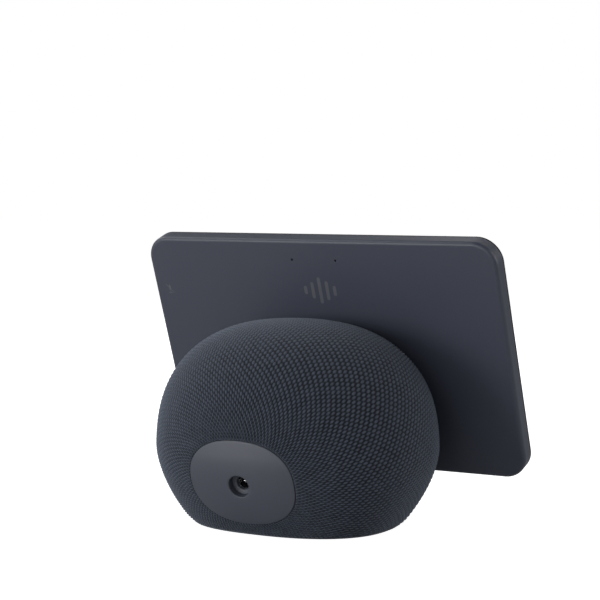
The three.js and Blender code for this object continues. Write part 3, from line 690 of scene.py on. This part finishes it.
class Ball:
    """The base's outer face in millimetres, as level sections that narrow above and below the waist."""

    def __init__(self, base):
        self.a = base.half_width / MM
        self.b = base.half_depth / MM
        self.top = base.height / MM

    def narrowing(self, z):
        up = np.clip((z - BALL_WAIST) / (self.top - BALL_WAIST), 0.0, 1.0)
        upper = (1 - up ** BALL_UPPER_POWER) ** (1 / BALL_UPPER_POWER)
        down = np.maximum((BALL_WAIST - z) / BALL_WAIST, 0.0)
        ease = (down ** 2 + BALL_WAIST_EASE ** 2) ** ((2 - BALL_LOWER_POWER) / 2)
        tuck = np.clip(1 - z / FOOT_TUCK_HEIGHT, 0.0, 1.0)
        lower = 1 - BALL_LOWER_DRAW * down ** 2 / ease - FOOT_TUCK * tuck ** FOOT_TUCK_POWER
        return np.where(z > BALL_WAIST, upper, np.maximum(lower, 1e-4))

    def power(self, z):
        share = np.clip(z / self.top, 0.0, 1.0)
        return BALL_SECTION_POWER[0] + (BALL_SECTION_POWER[1] - BALL_SECTION_POWER[0]) * share

    def excess(self, p):
        """Below zero inside the body, above zero outside."""
        x, y, z = p[..., 0], p[..., 1], p[..., 2]
        scale = np.maximum(self.narrowing(z), 1e-4)
        n = self.power(z)
        level = (np.abs(x) / (self.a * scale)) ** n + (np.abs(y - BALL_CENTRE_Y) / (self.b * scale)) ** n - 1
        return np.where(z >= self.top - 1e-6, 1.0 + z - self.top, level)

    def reach(self, directions):
        """Where rays from the body's inner eye point meet the outer face."""
        low = np.zeros(directions.shape[:-1])
        high = np.full(directions.shape[:-1], FARTHEST_REACH)
        for _ in range(HALVINGS):
            middle = (low + high) / 2
            outside = self.excess(BALL_EYE + directions * middle[..., None]) > 0
            high = np.where(outside, middle, high)
            low = np.where(outside, low, middle)
        return BALL_EYE + directions * low[..., None]

    def normal(self, p, step=0.05):
        """Unit outward normals from the change of excess."""
        parts = []
        for axis in range(3):
            move = np.zeros(3)
            move[axis] = step
            parts.append(self.excess(p + move) - self.excess(p - move))
        n = np.stack(parts, axis=-1)
        return n / np.maximum(np.linalg.norm(n, axis=-1, keepdims=True), 1e-9)

    def back_y(self, x, z):
        """The rear face's y at x and z."""
        scale, n = self.narrowing(z), self.power(z)
        inner = np.maximum(1 - (np.abs(x) / (self.a * scale)) ** n, 1e-9)
        return BALL_CENTRE_Y + self.b * scale * inner ** (1 / n)


def knit_grid(base, rows_per_course=2, margin=0.22):
    """The sleeve's points, each one's way from the plate's rim, which lie beyond the end, and the courses."""
    ball = Ball(base)
    pole = np.array([0.0, PLATE_FACE_Y, PLATE_CENTRE_Z]) - BALL_EYE
    pole /= np.linalg.norm(pole)
    right = np.array([1.0, 0.0, 0.0])
    rise = np.cross(right, pole)
    half_w, half_h = base.plate_half_width / MM + margin, base.plate_half_height / MM + margin

    def ray(theta, phi):
        ring = np.cos(phi)[..., None] * right + np.sin(phi)[..., None] * rise
        return np.cos(theta)[..., None] * pole + np.sin(theta)[..., None] * ring

    def rim_theta(phi):
        low, high = np.full(phi.shape, 0.05), np.full(phi.shape, 1.2)
        for _ in range(HALVINGS):
            middle = (low + high) / 2
            p = ball.reach(ray(middle, phi))
            across = (np.abs(p[..., 0]) / half_w) ** PLATE_POWER
            out = across + (np.abs(p[..., 2] - PLATE_CENTRE_Z) / half_h) ** PLATE_POWER > 1
            high = np.where(out, middle, high)
            low = np.where(out, low, middle)
        return low

    # wales are spaced evenly along the rim
    even = np.linspace(0, 2 * math.pi, 4 * 360 + 1)
    rim = ball.reach(ray(rim_theta(even), even))
    along = np.concatenate([[0], np.cumsum(np.linalg.norm(np.diff(rim, axis=0), axis=1))])
    columns = base.wales * WALE_COLUMNS
    phi = np.interp(np.arange(columns) / columns * along[-1], along, even)
    start = rim_theta(phi)

    # each wale marches away from the rim and counts half courses on the way
    steps = 420
    share = np.linspace(0, 1, steps)
    theta = start[:, None] + (WALE_END - start[:, None]) * share[None, :]
    path = ball.reach(ray(theta, np.repeat(phi[:, None], steps, axis=1)))
    stride = np.linalg.norm(np.diff(path, axis=1), axis=2)
    travel = np.concatenate([np.zeros((columns, 1)), np.cumsum(stride, axis=1)], axis=1)
    sideways = np.abs(np.cos(phi))[:, None]
    gather = COURSE_GATHER * sideways * np.exp(-travel / GATHER_LENGTH)
    pitch = base.course_pitch / MM + COURSE_SPREAD * sideways + gather
    count = np.concatenate([np.zeros((columns, 1)),
                            np.cumsum(stride / ((pitch[:, 1:] + pitch[:, :-1]) / 2), axis=1)], axis=1)
    rows = int(count.max() * rows_per_course)
    wanted = np.arange(rows) / rows_per_course
    rows_theta = np.stack([np.interp(wanted, count[i], theta[i]) for i in range(columns)])
    rows_travel = np.stack([np.interp(wanted, count[i], travel[i]) for i in range(columns)])
    beyond = wanted[None, :] > count[:, -1:]
    points = ball.reach(ray(rows_theta, np.repeat(phi[:, None], rows, axis=1)))
    return ball, points, rows_travel, beyond, wanted


def panel_depth(p):
    """How far points lie behind the display's back face, in millimetres."""
    origin = np.array(PANEL_ORIGIN) / MM
    axis = np.array([0.0, math.cos(PANEL_TILT), -math.sin(PANEL_TILT)])
    return (p - origin) @ axis


# ---------------------------------------------------------------- operators


class PieceOperator:
    """Common parts of this object's operators."""

    bl_options = {"REGISTER", "UNDO"}

    def execute(self, context):
        self.build(context.scene.smart_panel, context.scene.smart_base)
        return {"FINISHED"}


class SMARTDISPLAY_OT_rear_cover(PieceOperator, bpy.types.Operator):
    """The display's rear cover: a smooth shell with rounded back edges, key slots and microphone holes."""

    bl_idname = "smart_display.rear_cover"
    bl_label = "Rear cover"

    def build(self, panel, base):
        fillet, front, wall, chamfer = panel.back_fillet, panel.cover_front, 0.0018, 0.0002
        profile = [(fillet + 0.0020, 0.0)]
        profile += [(side, -back) for side, back in quarter(fillet, np.linspace(0, 90, 15))]
        profile += [(0.0, front + chamfer), (chamfer, front), (wall - chamfer, front),
                    (wall, front + chamfer), (wall, -0.0032), (wall + 0.0014, -wall)]
        mesh = closed_mesh("display_back", *panel_loft(profile, panel), PANEL)
        piece = finish_piece("display_back", mesh, cover_finish(),
                             stands_for=["rear_cover"], smooth_angle=0, weighted=False)
        side = panel.width / 2
        cutters = [self.cutter(pill_prism(*KEY_SLOT_SIZE, side - 0.004, side + 0.002, KEY_Y, z * MM))
                   for z in KEY_HEIGHTS.values()]
        cutters += [self.cutter(bore_prism(x * MM, MICROPHONE_HEIGHT * MM, MICROPHONE_HOLE_RADIUS))
                    for x in MICROPHONE_PLACES]
        for tool in cutters:
            slot = piece.modifiers.new("slot", "BOOLEAN")
            slot.operation, slot.solver, slot.object = "DIFFERENCE", "EXACT", tool
        view = bpy.context.evaluated_depsgraph_get()
        carved = bpy.data.meshes.new_from_object(piece.evaluated_get(view), depsgraph=view)
        piece.modifiers.clear()
        piece.data = carved
        carved.name = "display_back"
        carved.polygons.foreach_set("use_smooth", [True] * len(carved.polygons))
        carved.set_sharp_from_angle(angle=math.radians(40))
        weight_normals(piece, 90)
        for tool in cutters:
            bpy.data.objects.remove(tool, do_unlink=True)

    def cutter(self, mesh):
        tool = bpy.data.objects.new("cutter", mesh)
        bpy.context.scene.collection.objects.link(tool)
        return tool


def pill_outline(width, length, steps=12):
    """A pill in (across, along), counter-clockwise."""
    half, straight = width / 2, length / 2 - width / 2
    points = []
    for side, start in ((1, 0.0), (-1, math.pi)):
        for step in range(steps + 1):
            angle = start + math.pi * step / steps
            points.append((half * math.cos(angle), side * straight + half * math.sin(angle)))
    return points


def pill_prism(width, length, x0, x1, y, z):
    outline = pill_outline(width, length)
    points = [(x, y + a, z + b) for x in (x0, x1) for a, b in outline]
    return closed_mesh("pill", points, ring_faces(2, len(outline)), PANEL)


def bore_prism(x, z, radius, steps=24):
    angles = [2 * math.pi * i / steps for i in range(steps)]
    points = [(x + radius * math.cos(a), y, z + radius * math.sin(a))
              for y in (-0.0040, 0.0010) for a in angles]
    return closed_mesh("bore", points, ring_faces(2, steps), PANEL)


class SMARTDISPLAY_OT_front(PieceOperator, bpy.types.Operator):
    """The ring round the glass and the cover glass itself."""

    bl_idname = "smart_display.front"
    bl_label = "Front ring and glass"

    def build(self, panel, base):
        self.ring(panel, -panel.depth, panel.cover_front - 0.0003)
        self.glass(panel, -panel.depth)

    def ring(self, panel, front, seam, inner=0.0020, chamfer=0.0002, mouth=0.0011):
        profile = [(inner, seam), (chamfer, seam), (0.0, seam - chamfer)]
        profile += [(side, front + back) for back, side in quarter(0.0008, np.linspace(0, 90, 8))]
        profile += [(mouth - 0.00008, front), (mouth, front + 0.00008), (mouth, front + mouth),
                    (inner, front + mouth)]
        mesh = closed_mesh("front_ring", *panel_loft(profile, panel, looped=True), PANEL)
        finish_piece("front_ring", mesh, ring_finish(), stands_for=["front_frame"])

    def glass(self, panel, front, edge=0.0014, rounding=0.0002):
        profile = [(edge + 0.0004, front + 0.0008), (edge, front + 0.0006), (edge, front + rounding)]
        profile += [(edge + side, front + back) for back, side in quarter(rounding, np.linspace(15, 90, 5))]
        mesh = closed_mesh("screen_glass", *panel_loft(profile, panel))
        layer = mesh.uv_layers.new(name="panel_map")
        for loop in mesh.loops:
            at = mesh.vertices[loop.vertex_index].co
            layer.data[loop.index].uv = (at.x, at.z)
        mesh.transform(PANEL)
        finish_piece("screen_glass", mesh, glass_finish(), stands_for=["front_glass"])


class SMARTDISPLAY_OT_keys(PieceOperator, bpy.types.Operator):
    """The three side keys, each riding on its own sliding body."""

    bl_idname = "smart_display.keys"
    bl_label = "Side keys"

    def build(self, panel, base):
        edge, face = 0.00025, panel.width / 2
        for node, height in KEY_HEIGHTS.items():
            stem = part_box(node)[0][0]
            rings = [(0.0, stem), (0.0, face - edge)]
            rings += [(side, face - short) for short, side in quarter(edge, (30, 60, 90))]
            rings += [(edge + 0.0004, face), (edge + 0.0007, face - 0.00006)]
            points = []
            for inset, x in rings:
                outline = pill_outline(*(size - 2 * inset for size in KEY_SIZE))
                points += [(x, KEY_Y + a, height * MM + b) for a, b in outline]
            mesh = closed_mesh(node, points, ring_faces(len(rings), len(outline)), PANEL)
            finish_piece(node.replace("_button", "_key"), mesh, cover_finish(), body=node,
                         stands_for=[node])


class SMARTDISPLAY_OT_knit_sleeve(PieceOperator, bpy.types.Operator):
    """The knitted sleeve, with real stitches, tucked in at the plate, the display and the foot."""

    bl_idname = "smart_display.knit_sleeve"
    bl_label = "Knit sleeve"

    def build(self, panel, base):
        ball, points, travel, beyond, wanted = knit_grid(base)
        normals = ball.normal(points)
        behind, above = panel_depth(points), points[..., 2]

        def fade(value, start, span):
            return np.clip((value - start) / span, 0, 1)

        # the stitches flatten towards the plate's rim, the display and the foot
        calm = fade(travel, 0.0, 0.8) * fade(behind, 0.4, 1.0) * fade(above, 0.6, 1.2)
        rounding = 1.0 - fade(travel, 0.0, 0.9)
        height = self.crest(len(points), wanted) - STITCH_LEVEL
        dip = base.stitch_depth / MM * height * calm - HEM_ROUNDING * rounding ** 2
        raised = points + normals * dip[..., None]

        # rows of the hem turn down into the gap round the plate
        hem = [raised[:, 0] - normals[:, 0] * fall for fall in (1.3, 0.5)]
        raised = np.concatenate([np.stack(hem, axis=1), raised], axis=1)
        course = np.concatenate([[-0.8, -0.3], wanted])
        keep = np.concatenate([np.ones((len(points), 2), bool),
                               (behind > -1.5) & (above > -1.5) & ~beyond], axis=1)
        mesh = self.stitch_mesh(raised, course, keep)
        self.trim(mesh)
        sleeve = finish_piece("knit_sleeve", mesh, knit_finish(), stands_for=["fabric_cover"],
                              smooth_angle=0, weighted=False)

    def crest(self, columns, wanted):
        """Height of the stitches between 0 in the holes and 1 on the crowns."""
        wale = np.arange(columns)[:, None] / WALE_COLUMNS
        leaning, crossing = (np.cos(math.pi * (wale + sign * wanted[None, :])) for sign in (1, -1))
        crown = STITCH_LEAN * leaning + (1 - STITCH_LEAN) * crossing
        swing = CROWN_SWING * crown + GROOVE_SWING * np.cos(2 * math.pi * wale)
        return np.clip(0.5 + swing, 0, 1) ** CROWN_POWER

    def stitch_mesh(self, raised, course, keep):
        """Quads between the kept points, with wales and courses as their UV map."""
        columns, total = keep.shape
        index = np.arange(columns * total).reshape(columns, total)
        after = np.roll(index, -1, axis=0)
        quads = np.stack([index[:, :-1], after[:, :-1], after[:, 1:], index[:, 1:]], axis=-1)
        good = keep.reshape(-1)[quads].all(axis=-1)
        u0 = np.repeat(np.arange(columns)[:, None] / WALE_COLUMNS, total - 1, axis=1)
        v0 = np.repeat(course[None, :-1], columns, axis=0)
        v1 = np.repeat(course[None, 1:], columns, axis=0)
        u1 = u0 + 1 / WALE_COLUMNS
        corners = np.stack([np.stack(pair, -1) for pair in ((u0, v0), (u1, v0), (u1, v1), (u0, v1))], axis=2)
        faces, uv = quads[good], corners[good]
        used, compact = np.unique(faces.reshape(-1), return_inverse=True)
        mesh = bpy.data.meshes.new("knit_sleeve")
        mesh.vertices.add(len(used))
        mesh.vertices.foreach_set("co", (raised.reshape(-1, 3)[used] * MM).astype(np.float32).ravel())
        mesh.loops.add(len(compact))
        mesh.loops.foreach_set("vertex_index", compact.astype(np.int32).ravel())
        mesh.polygons.add(len(faces))
        mesh.polygons.foreach_set("loop_start", np.arange(0, len(compact), 4, dtype=np.int32))
        layer = mesh.uv_layers.new(name="stitch_map")
        layer.data.foreach_set("uv", uv.astype(np.float32).ravel())
        mesh.update(calc_edges=True)
        mesh.validate()
        return mesh

    def trim(self, mesh):
        """Cuts the cloth at the display and the foot and turns its cut edges in, so its thickness shows."""
        work = bmesh.new()
        work.from_mesh(mesh)
        near, floor = 1e-5, SLEEVE_FLOOR * MM
        panel_axis = (PANEL.to_3x3() @ Vector((0, 1, 0))).normalized()
        cut_at = PANEL_ORIGIN + panel_axis * 0.5 * MM
        for origin, axis in ((cut_at, -panel_axis), (Vector((0, 0, floor)), -UP)):
            bmesh.ops.bisect_plane(work, geom=work.verts[:] + work.edges[:] + work.faces[:], dist=1e-7,
                                   plane_co=origin, plane_no=axis, clear_outer=True)
        hub = Vector((0, BALL_CENTRE_Y, BALL_WAIST)) * MM
        edges = []
        for edge in work.edges:
            at = edge.verts[0].co
            if edge.is_boundary and (abs((at - cut_at).dot(panel_axis)) < near or abs(at.z - floor) < near):
                edges.append(edge)
        made = bmesh.ops.extrude_edge_only(work, edges=edges)["geom"]
        for vertex in (g for g in made if isinstance(g, bmesh.types.BMVert)):
            inward = hub - vertex.co
            if abs(vertex.co.z - floor) < near:
                inward.z = 0
            else:
                inward -= panel_axis * inward.dot(panel_axis)
            vertex.co += inward.normalized() * 1.2 * MM
        bmesh.ops.recalc_face_normals(work, faces=work.faces)
        work.to_mesh(mesh)
        work.free()


def plate_outline(base, angle, inset=0.0):
    """How far the plate's rim lies from the jack, in the direction of an angle."""
    half_w, half_h = base.plate_half_width / MM - inset, base.plate_half_height / MM - inset
    low, high = 0.0, 60.0
    for _ in range(HALVINGS):
        middle = (low + high) / 2
        x = middle * math.cos(angle)
        z = JACK_ORIGIN.z + middle * math.sin(angle) - PLATE_CENTRE_Z
        if (abs(x) / half_w) ** PLATE_POWER + (abs(z) / half_h) ** PLATE_POWER > 1:
            high = middle
        else:
            low = middle
    return low


def recess_profile():
    """Radius and depth of the recess's lip, wall, floor and bore, along the jack's axis."""
    recess, lip, bore, floor = RECESS_RADIUS, RECESS_LIP, RECESS_BORE, RECESS_DEPTH
    down = [(recess + lip, 0.0)]
    down += [(recess + across, -along) for across, along in quarter(lip, (22, 45, 67, 90))]
    return down + [(recess, -floor + 0.3), (recess - 0.1, -floor + 0.1), (recess - 0.3, -floor),
                   (bore + 0.25, -floor), (bore, -floor - 0.25), (bore, -9.0)]


def power_plate_mesh(base, count=144, rings=18, rounding=0.55, thickness=2.2):
    """The plate's face over the body, rounded rim, and the tilted recess down to the socket's bore."""
    ball = Ball(base)
    place = jack_place()
    angles = [2 * math.pi * i / count for i in range(count)]

    def on_face(x, z, fall=0.0):
        p = np.array([x, float(ball.back_y(np.array(x), np.array(z))), z])
        return p - ball.normal(p[None])[0] * fall if fall else p

    def level(reach, fall=0.0):
        return [on_face(at * math.cos(a), JACK_ORIGIN.z + at * math.sin(a), fall)
                for a, at in zip(angles, reach)]

    # outer wall and rounded rim, from the hidden edge to the face
    rim = [(0.0, thickness), (0.0, rounding)]
    rim += [(inset, fall) for fall, inset in quarter(rounding, (22, 45, 67, 90))]
    levels = [level([plate_outline(base, a, inset) for a in angles], fall) for inset, fall in rim]
    edge = [plate_outline(base, a, rounding) for a in angles]
    for ring in range(1, rings):
        levels.append(level([at + (RECESS_RADIUS + RECESS_LIP - at) * ring / rings for at in edge]))
    # the recess starts on the curved face and turns square to the jack's axis within three rings
    for step, (radius, depth) in enumerate(recess_profile()):
        blend = max(0.0, 1 - step / 3)
        here = []
        for a in angles:
            p = np.array(place @ (Vector((radius * math.cos(a), -radius * math.sin(a), 0)) * MM)) / MM
            here.append(p * (1 - blend) + on_face(p[0], p[2]) * blend + np.array(JACK_AXIS) * depth)
        levels.append(here)
    faces = ring_faces(len(levels), count, capped=False)
    # a back skin joins the bore to the outer wall, so the plate is one solid
    levels.append([p - np.array([0, thickness, 0]) for p in levels[0]])
    back = (len(levels) - 1) * count
    last = back - count
    for i in range(count):
        j = (i + 1) % count
        faces += [(back + i, back + j, j, i), (last + i, last + j, back + j, back + i)]
    return closed_mesh("power_plate", [p * MM for level in levels for p in level], faces)


class SMARTDISPLAY_OT_power_plate(PieceOperator, bpy.types.Operator):
    """The smooth plate set into the knit, with its tilted recess for the plug."""

    bl_idname = "smart_display.power_plate"
    bl_label = "Power plate"

    def build(self, panel, base):
        finish_piece("power_plate", power_plate_mesh(base), plate_finish(),
                     stands_for=["rear_plate"], smooth_angle=50)


class SMARTDISPLAY_OT_power_socket(PieceOperator, bpy.types.Operator):
    """The power socket behind the recess: body, centre pin and contact spring."""

    bl_idname = "smart_display.power_socket"
    bl_label = "Power socket"

    def build(self, panel, base):
        # radius and height in millimetres, from the axis and from the plate's face inwards
        body = [(0.0, -15.0), (3.2, -15.0), (3.2, -5.45), (3.35, -5.3), (4.85, -5.3), (5.0, -5.45),
                (5.0, -17.0), (0.0, -17.0)]
        pin = [(0.0, -6.0), (0.15, -6.03), (0.85, -6.38), (0.96, -6.5), (1.0, -6.7), (1.0, -14.8),
               (0.0, -14.8)]
        nickel = worn_metal("nickel_contact", (0.86, 0.86, 0.85), 0.22, streaks=1600.0)
        self.piece("socket_body", turned(body), socket_finish(), "black_plastic", "power_jack_body")
        self.piece("socket_pin", turned(pin), nickel, "zinc_steel", "power_jack_pin")
        self.piece("socket_leaf", self.leaf(), nickel, "zinc_steel", "power_jack_contact")

    def leaf(self, half=1.0, thick=0.14):
        """The contact spring: a strip bowed towards the plug."""
        path = [(2.62, -14.1), (2.62, -11.5), (2.45, -9.8), (2.25, -8.6), (2.35, -7.6), (2.7, -6.6)]
        points = []
        for x, z in path:
            points += [(x - thick, -half, z), (x + thick, -half, z), (x + thick, half, z),
                       (x - thick, half, z)]
        return points, ring_faces(len(path), 4)

    def piece(self, name, shape, material, slot, node):
        points, faces = shape
        mesh = closed_mesh(name, [Vector(p) * MM for p in points], faces, jack_place())
        finish_piece(name, mesh, material, stands_for=[node])


class SMARTDISPLAY_OT_marks(PieceOperator, bpy.types.Operator):
    """Generic tone-on-tone marks on the back: five sound bars and a struck-out microphone."""

    bl_idname = "smart_display.marks"
    bl_label = "Back marks"

    def build(self, panel, base):
        middle, pitch, width = (-0.00085, 0.0376), 0.0044, 0.0019
        bars = [(middle[0] + (column - 2) * pitch, middle[1], width, panel.mark_height * share, 0.0)
                for column, share in enumerate((0.38, 0.72, 1.0, 0.62, 0.32))]
        self.relief("sound_mark", bars, 0.00003, mark_finish())
        x, z, line = 0.0956, 0.0358, 0.0004
        microphone = [(x, z + 0.0006, 0.0013, 0.0030, 0.0), (x, z - 0.0019, line, 0.0012, 0.0),
                      (x, z - 0.0026, line, 0.0024, 90.0)]
        stroke = (x, z, line, 0.0066, -42.0)
        self.relief("mute_mark", [*microphone, stroke], 0.00002, mark_finish())

    def relief(self, name, pills, height, material):
        """Thin pads with rounded ends: each is x, z, width, length and turn in degrees."""
        points, faces = [], []
        for x, z, width, length, turn in pills:
            outline = pill_outline(width, length, 10)
            c, s = math.cos(math.radians(turn)), math.sin(math.radians(turn))
            start = len(points)
            for inset, y in ((0.0, -0.0001), (0.0, height * 0.6), (height, height)):
                for a, b in outline:
                    a, b = a * (1 - 2 * inset / width), b * (1 - 2 * inset / length)
                    points.append((x + a * c - b * s, y, z + a * s + b * c))
            faces += [tuple(start + i for i in face) for face in ring_faces(3, len(outline))]
        finish_piece(name, closed_mesh(name, points, faces, PANEL), material)


class SMARTDISPLAY_OT_foot(PieceOperator, bpy.types.Operator):
    """The rubber foot ring under the base, with rounded edges and a shallow dished centre."""

    bl_idname = "smart_display.foot"
    bl_label = "Rubber foot"

    def build(self, panel, base, hidden=0.0022, power=2.6, count=160):
        low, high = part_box("foot_pad")
        half_w, half_d, tall = (high[0] - low[0]) / 2 - hidden, (high[1] - low[1]) / 2 - hidden, high[2]
        centre_y = (high[1] + low[1]) / 2
        # inset from the outer wall and height: the wall, the tread with its groove, and the dished centre
        profile = [(0.0006, tall), (0.0, tall - 0.0002), (0.0, 0.0005), (0.00015, 0.00015), (0.0005, 0.0),
                   (0.0040, 0.0), (0.0043, 0.0003), (0.0046, 0.0003), (0.0049, 0.0), (0.0110, 0.0),
                   (0.0114, 0.0005), (0.0130, 0.0005)]
        points = []
        for inset, z in profile:
            for i in range(count):
                x, y = superellipse(half_w - inset, half_d - inset, power, 2 * math.pi * i / count)
                points.append((x, centre_y + y, z))
        mesh = closed_mesh("rubber_foot", points, ring_faces(len(profile), count))
        finish_piece("rubber_foot", mesh, rubber_finish(), stands_for=["foot_pad"])


class SMARTDISPLAY_OT_inner_parts(PieceOperator, bpy.types.Operator):
    """Finishes for the carried-over CAD nodes, chosen by the record's material slots."""

    bl_idname = "smart_display.inner_parts"
    bl_label = "Inner parts"

    def build(self, panel, base):
        finishes = slot_finishes()
        slots = {part["node"]: part["material_slot"] for part in frame["record"]["subparts"]}
        for name, node in frame["nodes"].items():
            if node.hide_render:
                continue
            material = finishes[slots[name]]
            if not node.data.materials:
                node.data.materials.append(material)
            for index in range(len(node.material_slots)):
                node.material_slots[index].link = "OBJECT"
                node.material_slots[index].material = material


class SMARTDISPLAY_OT_stage(PieceOperator, bpy.types.Operator):
    """Pale floor, soft studio lights and the camera."""

    bl_idname = "smart_display.stage"
    bl_label = "Studio"

    def build(self, panel, base):
        self.floor()
        self.world()
        self.lights()
        self.camera()
        view = bpy.context.scene.view_settings
        view.view_transform = "Standard"
        view.look = "None"

    def floor(self, half=6):
        corners = [(-half, -half, 0), (half, -half, 0), (half, half, 0), (-half, half, 0)]
        mesh = mesh_from("floor", corners, [(0, 1, 2, 3)])
        floor = bpy.data.objects.new("floor", mesh)
        bpy.context.scene.collection.objects.link(floor)
        made = bpy.data.materials.new("pale_floor")
        made.use_nodes = True
        made.node_tree.nodes.clear()
        s = Shader(made.node_tree)
        grain = s.noise(40.0, 3.0, 0.5, s.place())
        matte = s.node("BsdfDiffuse", Color=s.mix(grain, (0.60, 0.60, 0.60, 1), (0.64, 0.64, 0.64, 1)))
        reach = s.node("VectorMath", {"operation": "LENGTH"}, Vector=s.place()).outputs["Value"]
        glow = s.node("Emission", Color=(1, 1, 1, 1), Strength=s.ramp(reach, 0.2, 0.8, 0.9, 1.0))
        both = s.node("AddShader")
        s.put(both.inputs[0], matte.outputs[0])
        s.put(both.inputs[1], glow.outputs[0])
        dim = s.node("BsdfDiffuse", Color=(0.55, 0.55, 0.55, 1))
        choice = s.node("MixShader")
        s.put(choice.inputs[0], s.node("LightPath").outputs["Is Camera Ray"])
        s.put(choice.inputs[1], dim.outputs[0])
        s.put(choice.inputs[2], both.outputs[0])
        s.put(s.node("OutputMaterial").inputs[0], choice.outputs[0])
        mesh.materials.append(made)
        floor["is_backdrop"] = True

    def world(self):
        world = bpy.data.worlds.new("studio")
        world.use_nodes = True
        world.node_tree.nodes.clear()
        s = Shader(world.node_tree)
        seen = s.node("Background", Color=(1, 1, 1, 1), Strength=1.0)
        ambient = s.node("Background", Color=(0.95, 0.97, 1.0, 1), Strength=0.03)
        choice = s.node("MixShader")
        s.put(choice.inputs[0], s.node("LightPath").outputs["Is Camera Ray"])
        s.put(choice.inputs[1], ambient.outputs[0])
        s.put(choice.inputs[2], seen.outputs[0])
        s.put(s.node("OutputWorld").inputs[0], choice.outputs[0])
        bpy.context.scene.world = world

    def lights(self, distance=1.4):
        aim = Vector((0, 0.01, 0.07))
        toward_view = Vector((-0.5034, 0.8640, 0))
        leftward = Vector((toward_view.y, -toward_view.x, 0))
        # name, turn to the left of the viewing side, rise, size in metres and power in watts
        rows = (
            ("low_left_softbox", 60, 5, 0.6, 9.85),
            ("right_softbox", -85, 20, 0.8, 6.7),
            ("high_left_softbox", 100, 50, 0.8, 4.9),
            ("rear_left_softbox", 130, 35, 0.8, 4.2),
            ("front_left_softbox", 30, 10, 0.8, 2.75),
            ("low_front_softbox", 10, 5, 0.8, 2.7),
            ("side_softbox", 95, 5, 0.6, 1.9),
            ("front_right_softbox", -50, 30, 0.7, 1.4),
            ("back_softbox", 165, 20, 0.9, 0.8),
            ("screen_softbox", 205, 30, 1.0, 5.0),
        )
        for name, turn, rise, size, power in rows:
            turn, rise = math.radians(turn), math.radians(rise)
            level = toward_view * math.cos(turn) + leftward * math.sin(turn)
            place = aim + (level * math.cos(rise) + UP * math.sin(rise)) * distance
            lamp = bpy.data.lights.new(name, "AREA")
            lamp.shape = "SQUARE"
            lamp.size = size
            lamp.energy = power
            made = bpy.data.objects.new(name, lamp)
            made.location = place
            made.rotation_euler = (aim - place).to_track_quat("-Z", "Y").to_euler()
            bpy.context.scene.collection.objects.link(made)

    def camera(self):
        data = bpy.data.cameras.new("studio_camera")
        data.lens, data.sensor_width = 107.5, 36.0
        data.clip_start, data.clip_end = 0.05, 30.0
        camera = bpy.data.objects.new("studio_camera", data)
        camera.location = Vector((-468.16, 803.96, 175.49)) * MM
        camera.rotation_euler = Vector((0.5024, -0.8622, -0.0642)).to_track_quat("-Z", "Y").to_euler()
        bpy.context.scene.collection.objects.link(camera)
        bpy.context.scene.camera = camera


class SMARTDISPLAY_PT_pieces(bpy.types.Panel):
    """Sizes, colours and the operators that build each piece."""

    bl_idname = "SMARTDISPLAY_PT_pieces"
    bl_label = "Smart display"
    bl_space_type = "VIEW_3D"
    bl_region_type = "UI"
    bl_category = "Smart display"

    def draw(self, context):
        for group in (context.scene.smart_panel, context.scene.smart_base, context.scene.smart_finish):
            box = self.layout.box()
            for name in group.__annotations__:
                box.prop(group, name)
        for operator in OPERATORS:
            self.layout.operator(operator.bl_idname)


SETTINGS = (PanelSettings, BaseSettings, FinishSettings)
OPERATORS = (
    SMARTDISPLAY_OT_stage,
    SMARTDISPLAY_OT_rear_cover,
    SMARTDISPLAY_OT_front,
    SMARTDISPLAY_OT_keys,
    SMARTDISPLAY_OT_knit_sleeve,
    SMARTDISPLAY_OT_power_plate,
    SMARTDISPLAY_OT_power_socket,
    SMARTDISPLAY_OT_marks,
    SMARTDISPLAY_OT_foot,
    SMARTDISPLAY_OT_inner_parts,
)


def register():
    for made in (*SETTINGS, *OPERATORS, SMARTDISPLAY_PT_pieces):
        bpy.utils.register_class(made)
    bpy.types.Scene.smart_panel = bpy.props.PointerProperty(type=PanelSettings)
    bpy.types.Scene.smart_base = bpy.props.PointerProperty(type=BaseSettings)
    bpy.types.Scene.smart_finish = bpy.props.PointerProperty(type=FinishSettings)


def unregister():
    del bpy.types.Scene.smart_finish
    del bpy.types.Scene.smart_base
    del bpy.types.Scene.smart_panel
    for made in reversed((*SETTINGS, *OPERATORS, SMARTDISPLAY_PT_pieces)):
        bpy.utils.unregister_class(made)


def main():
    register()
    for operator in OPERATORS:
        group, name = operator.bl_idname.split(".")
        getattr(getattr(bpy.ops, group), name)()


if __name__ == "__main__":
    main()
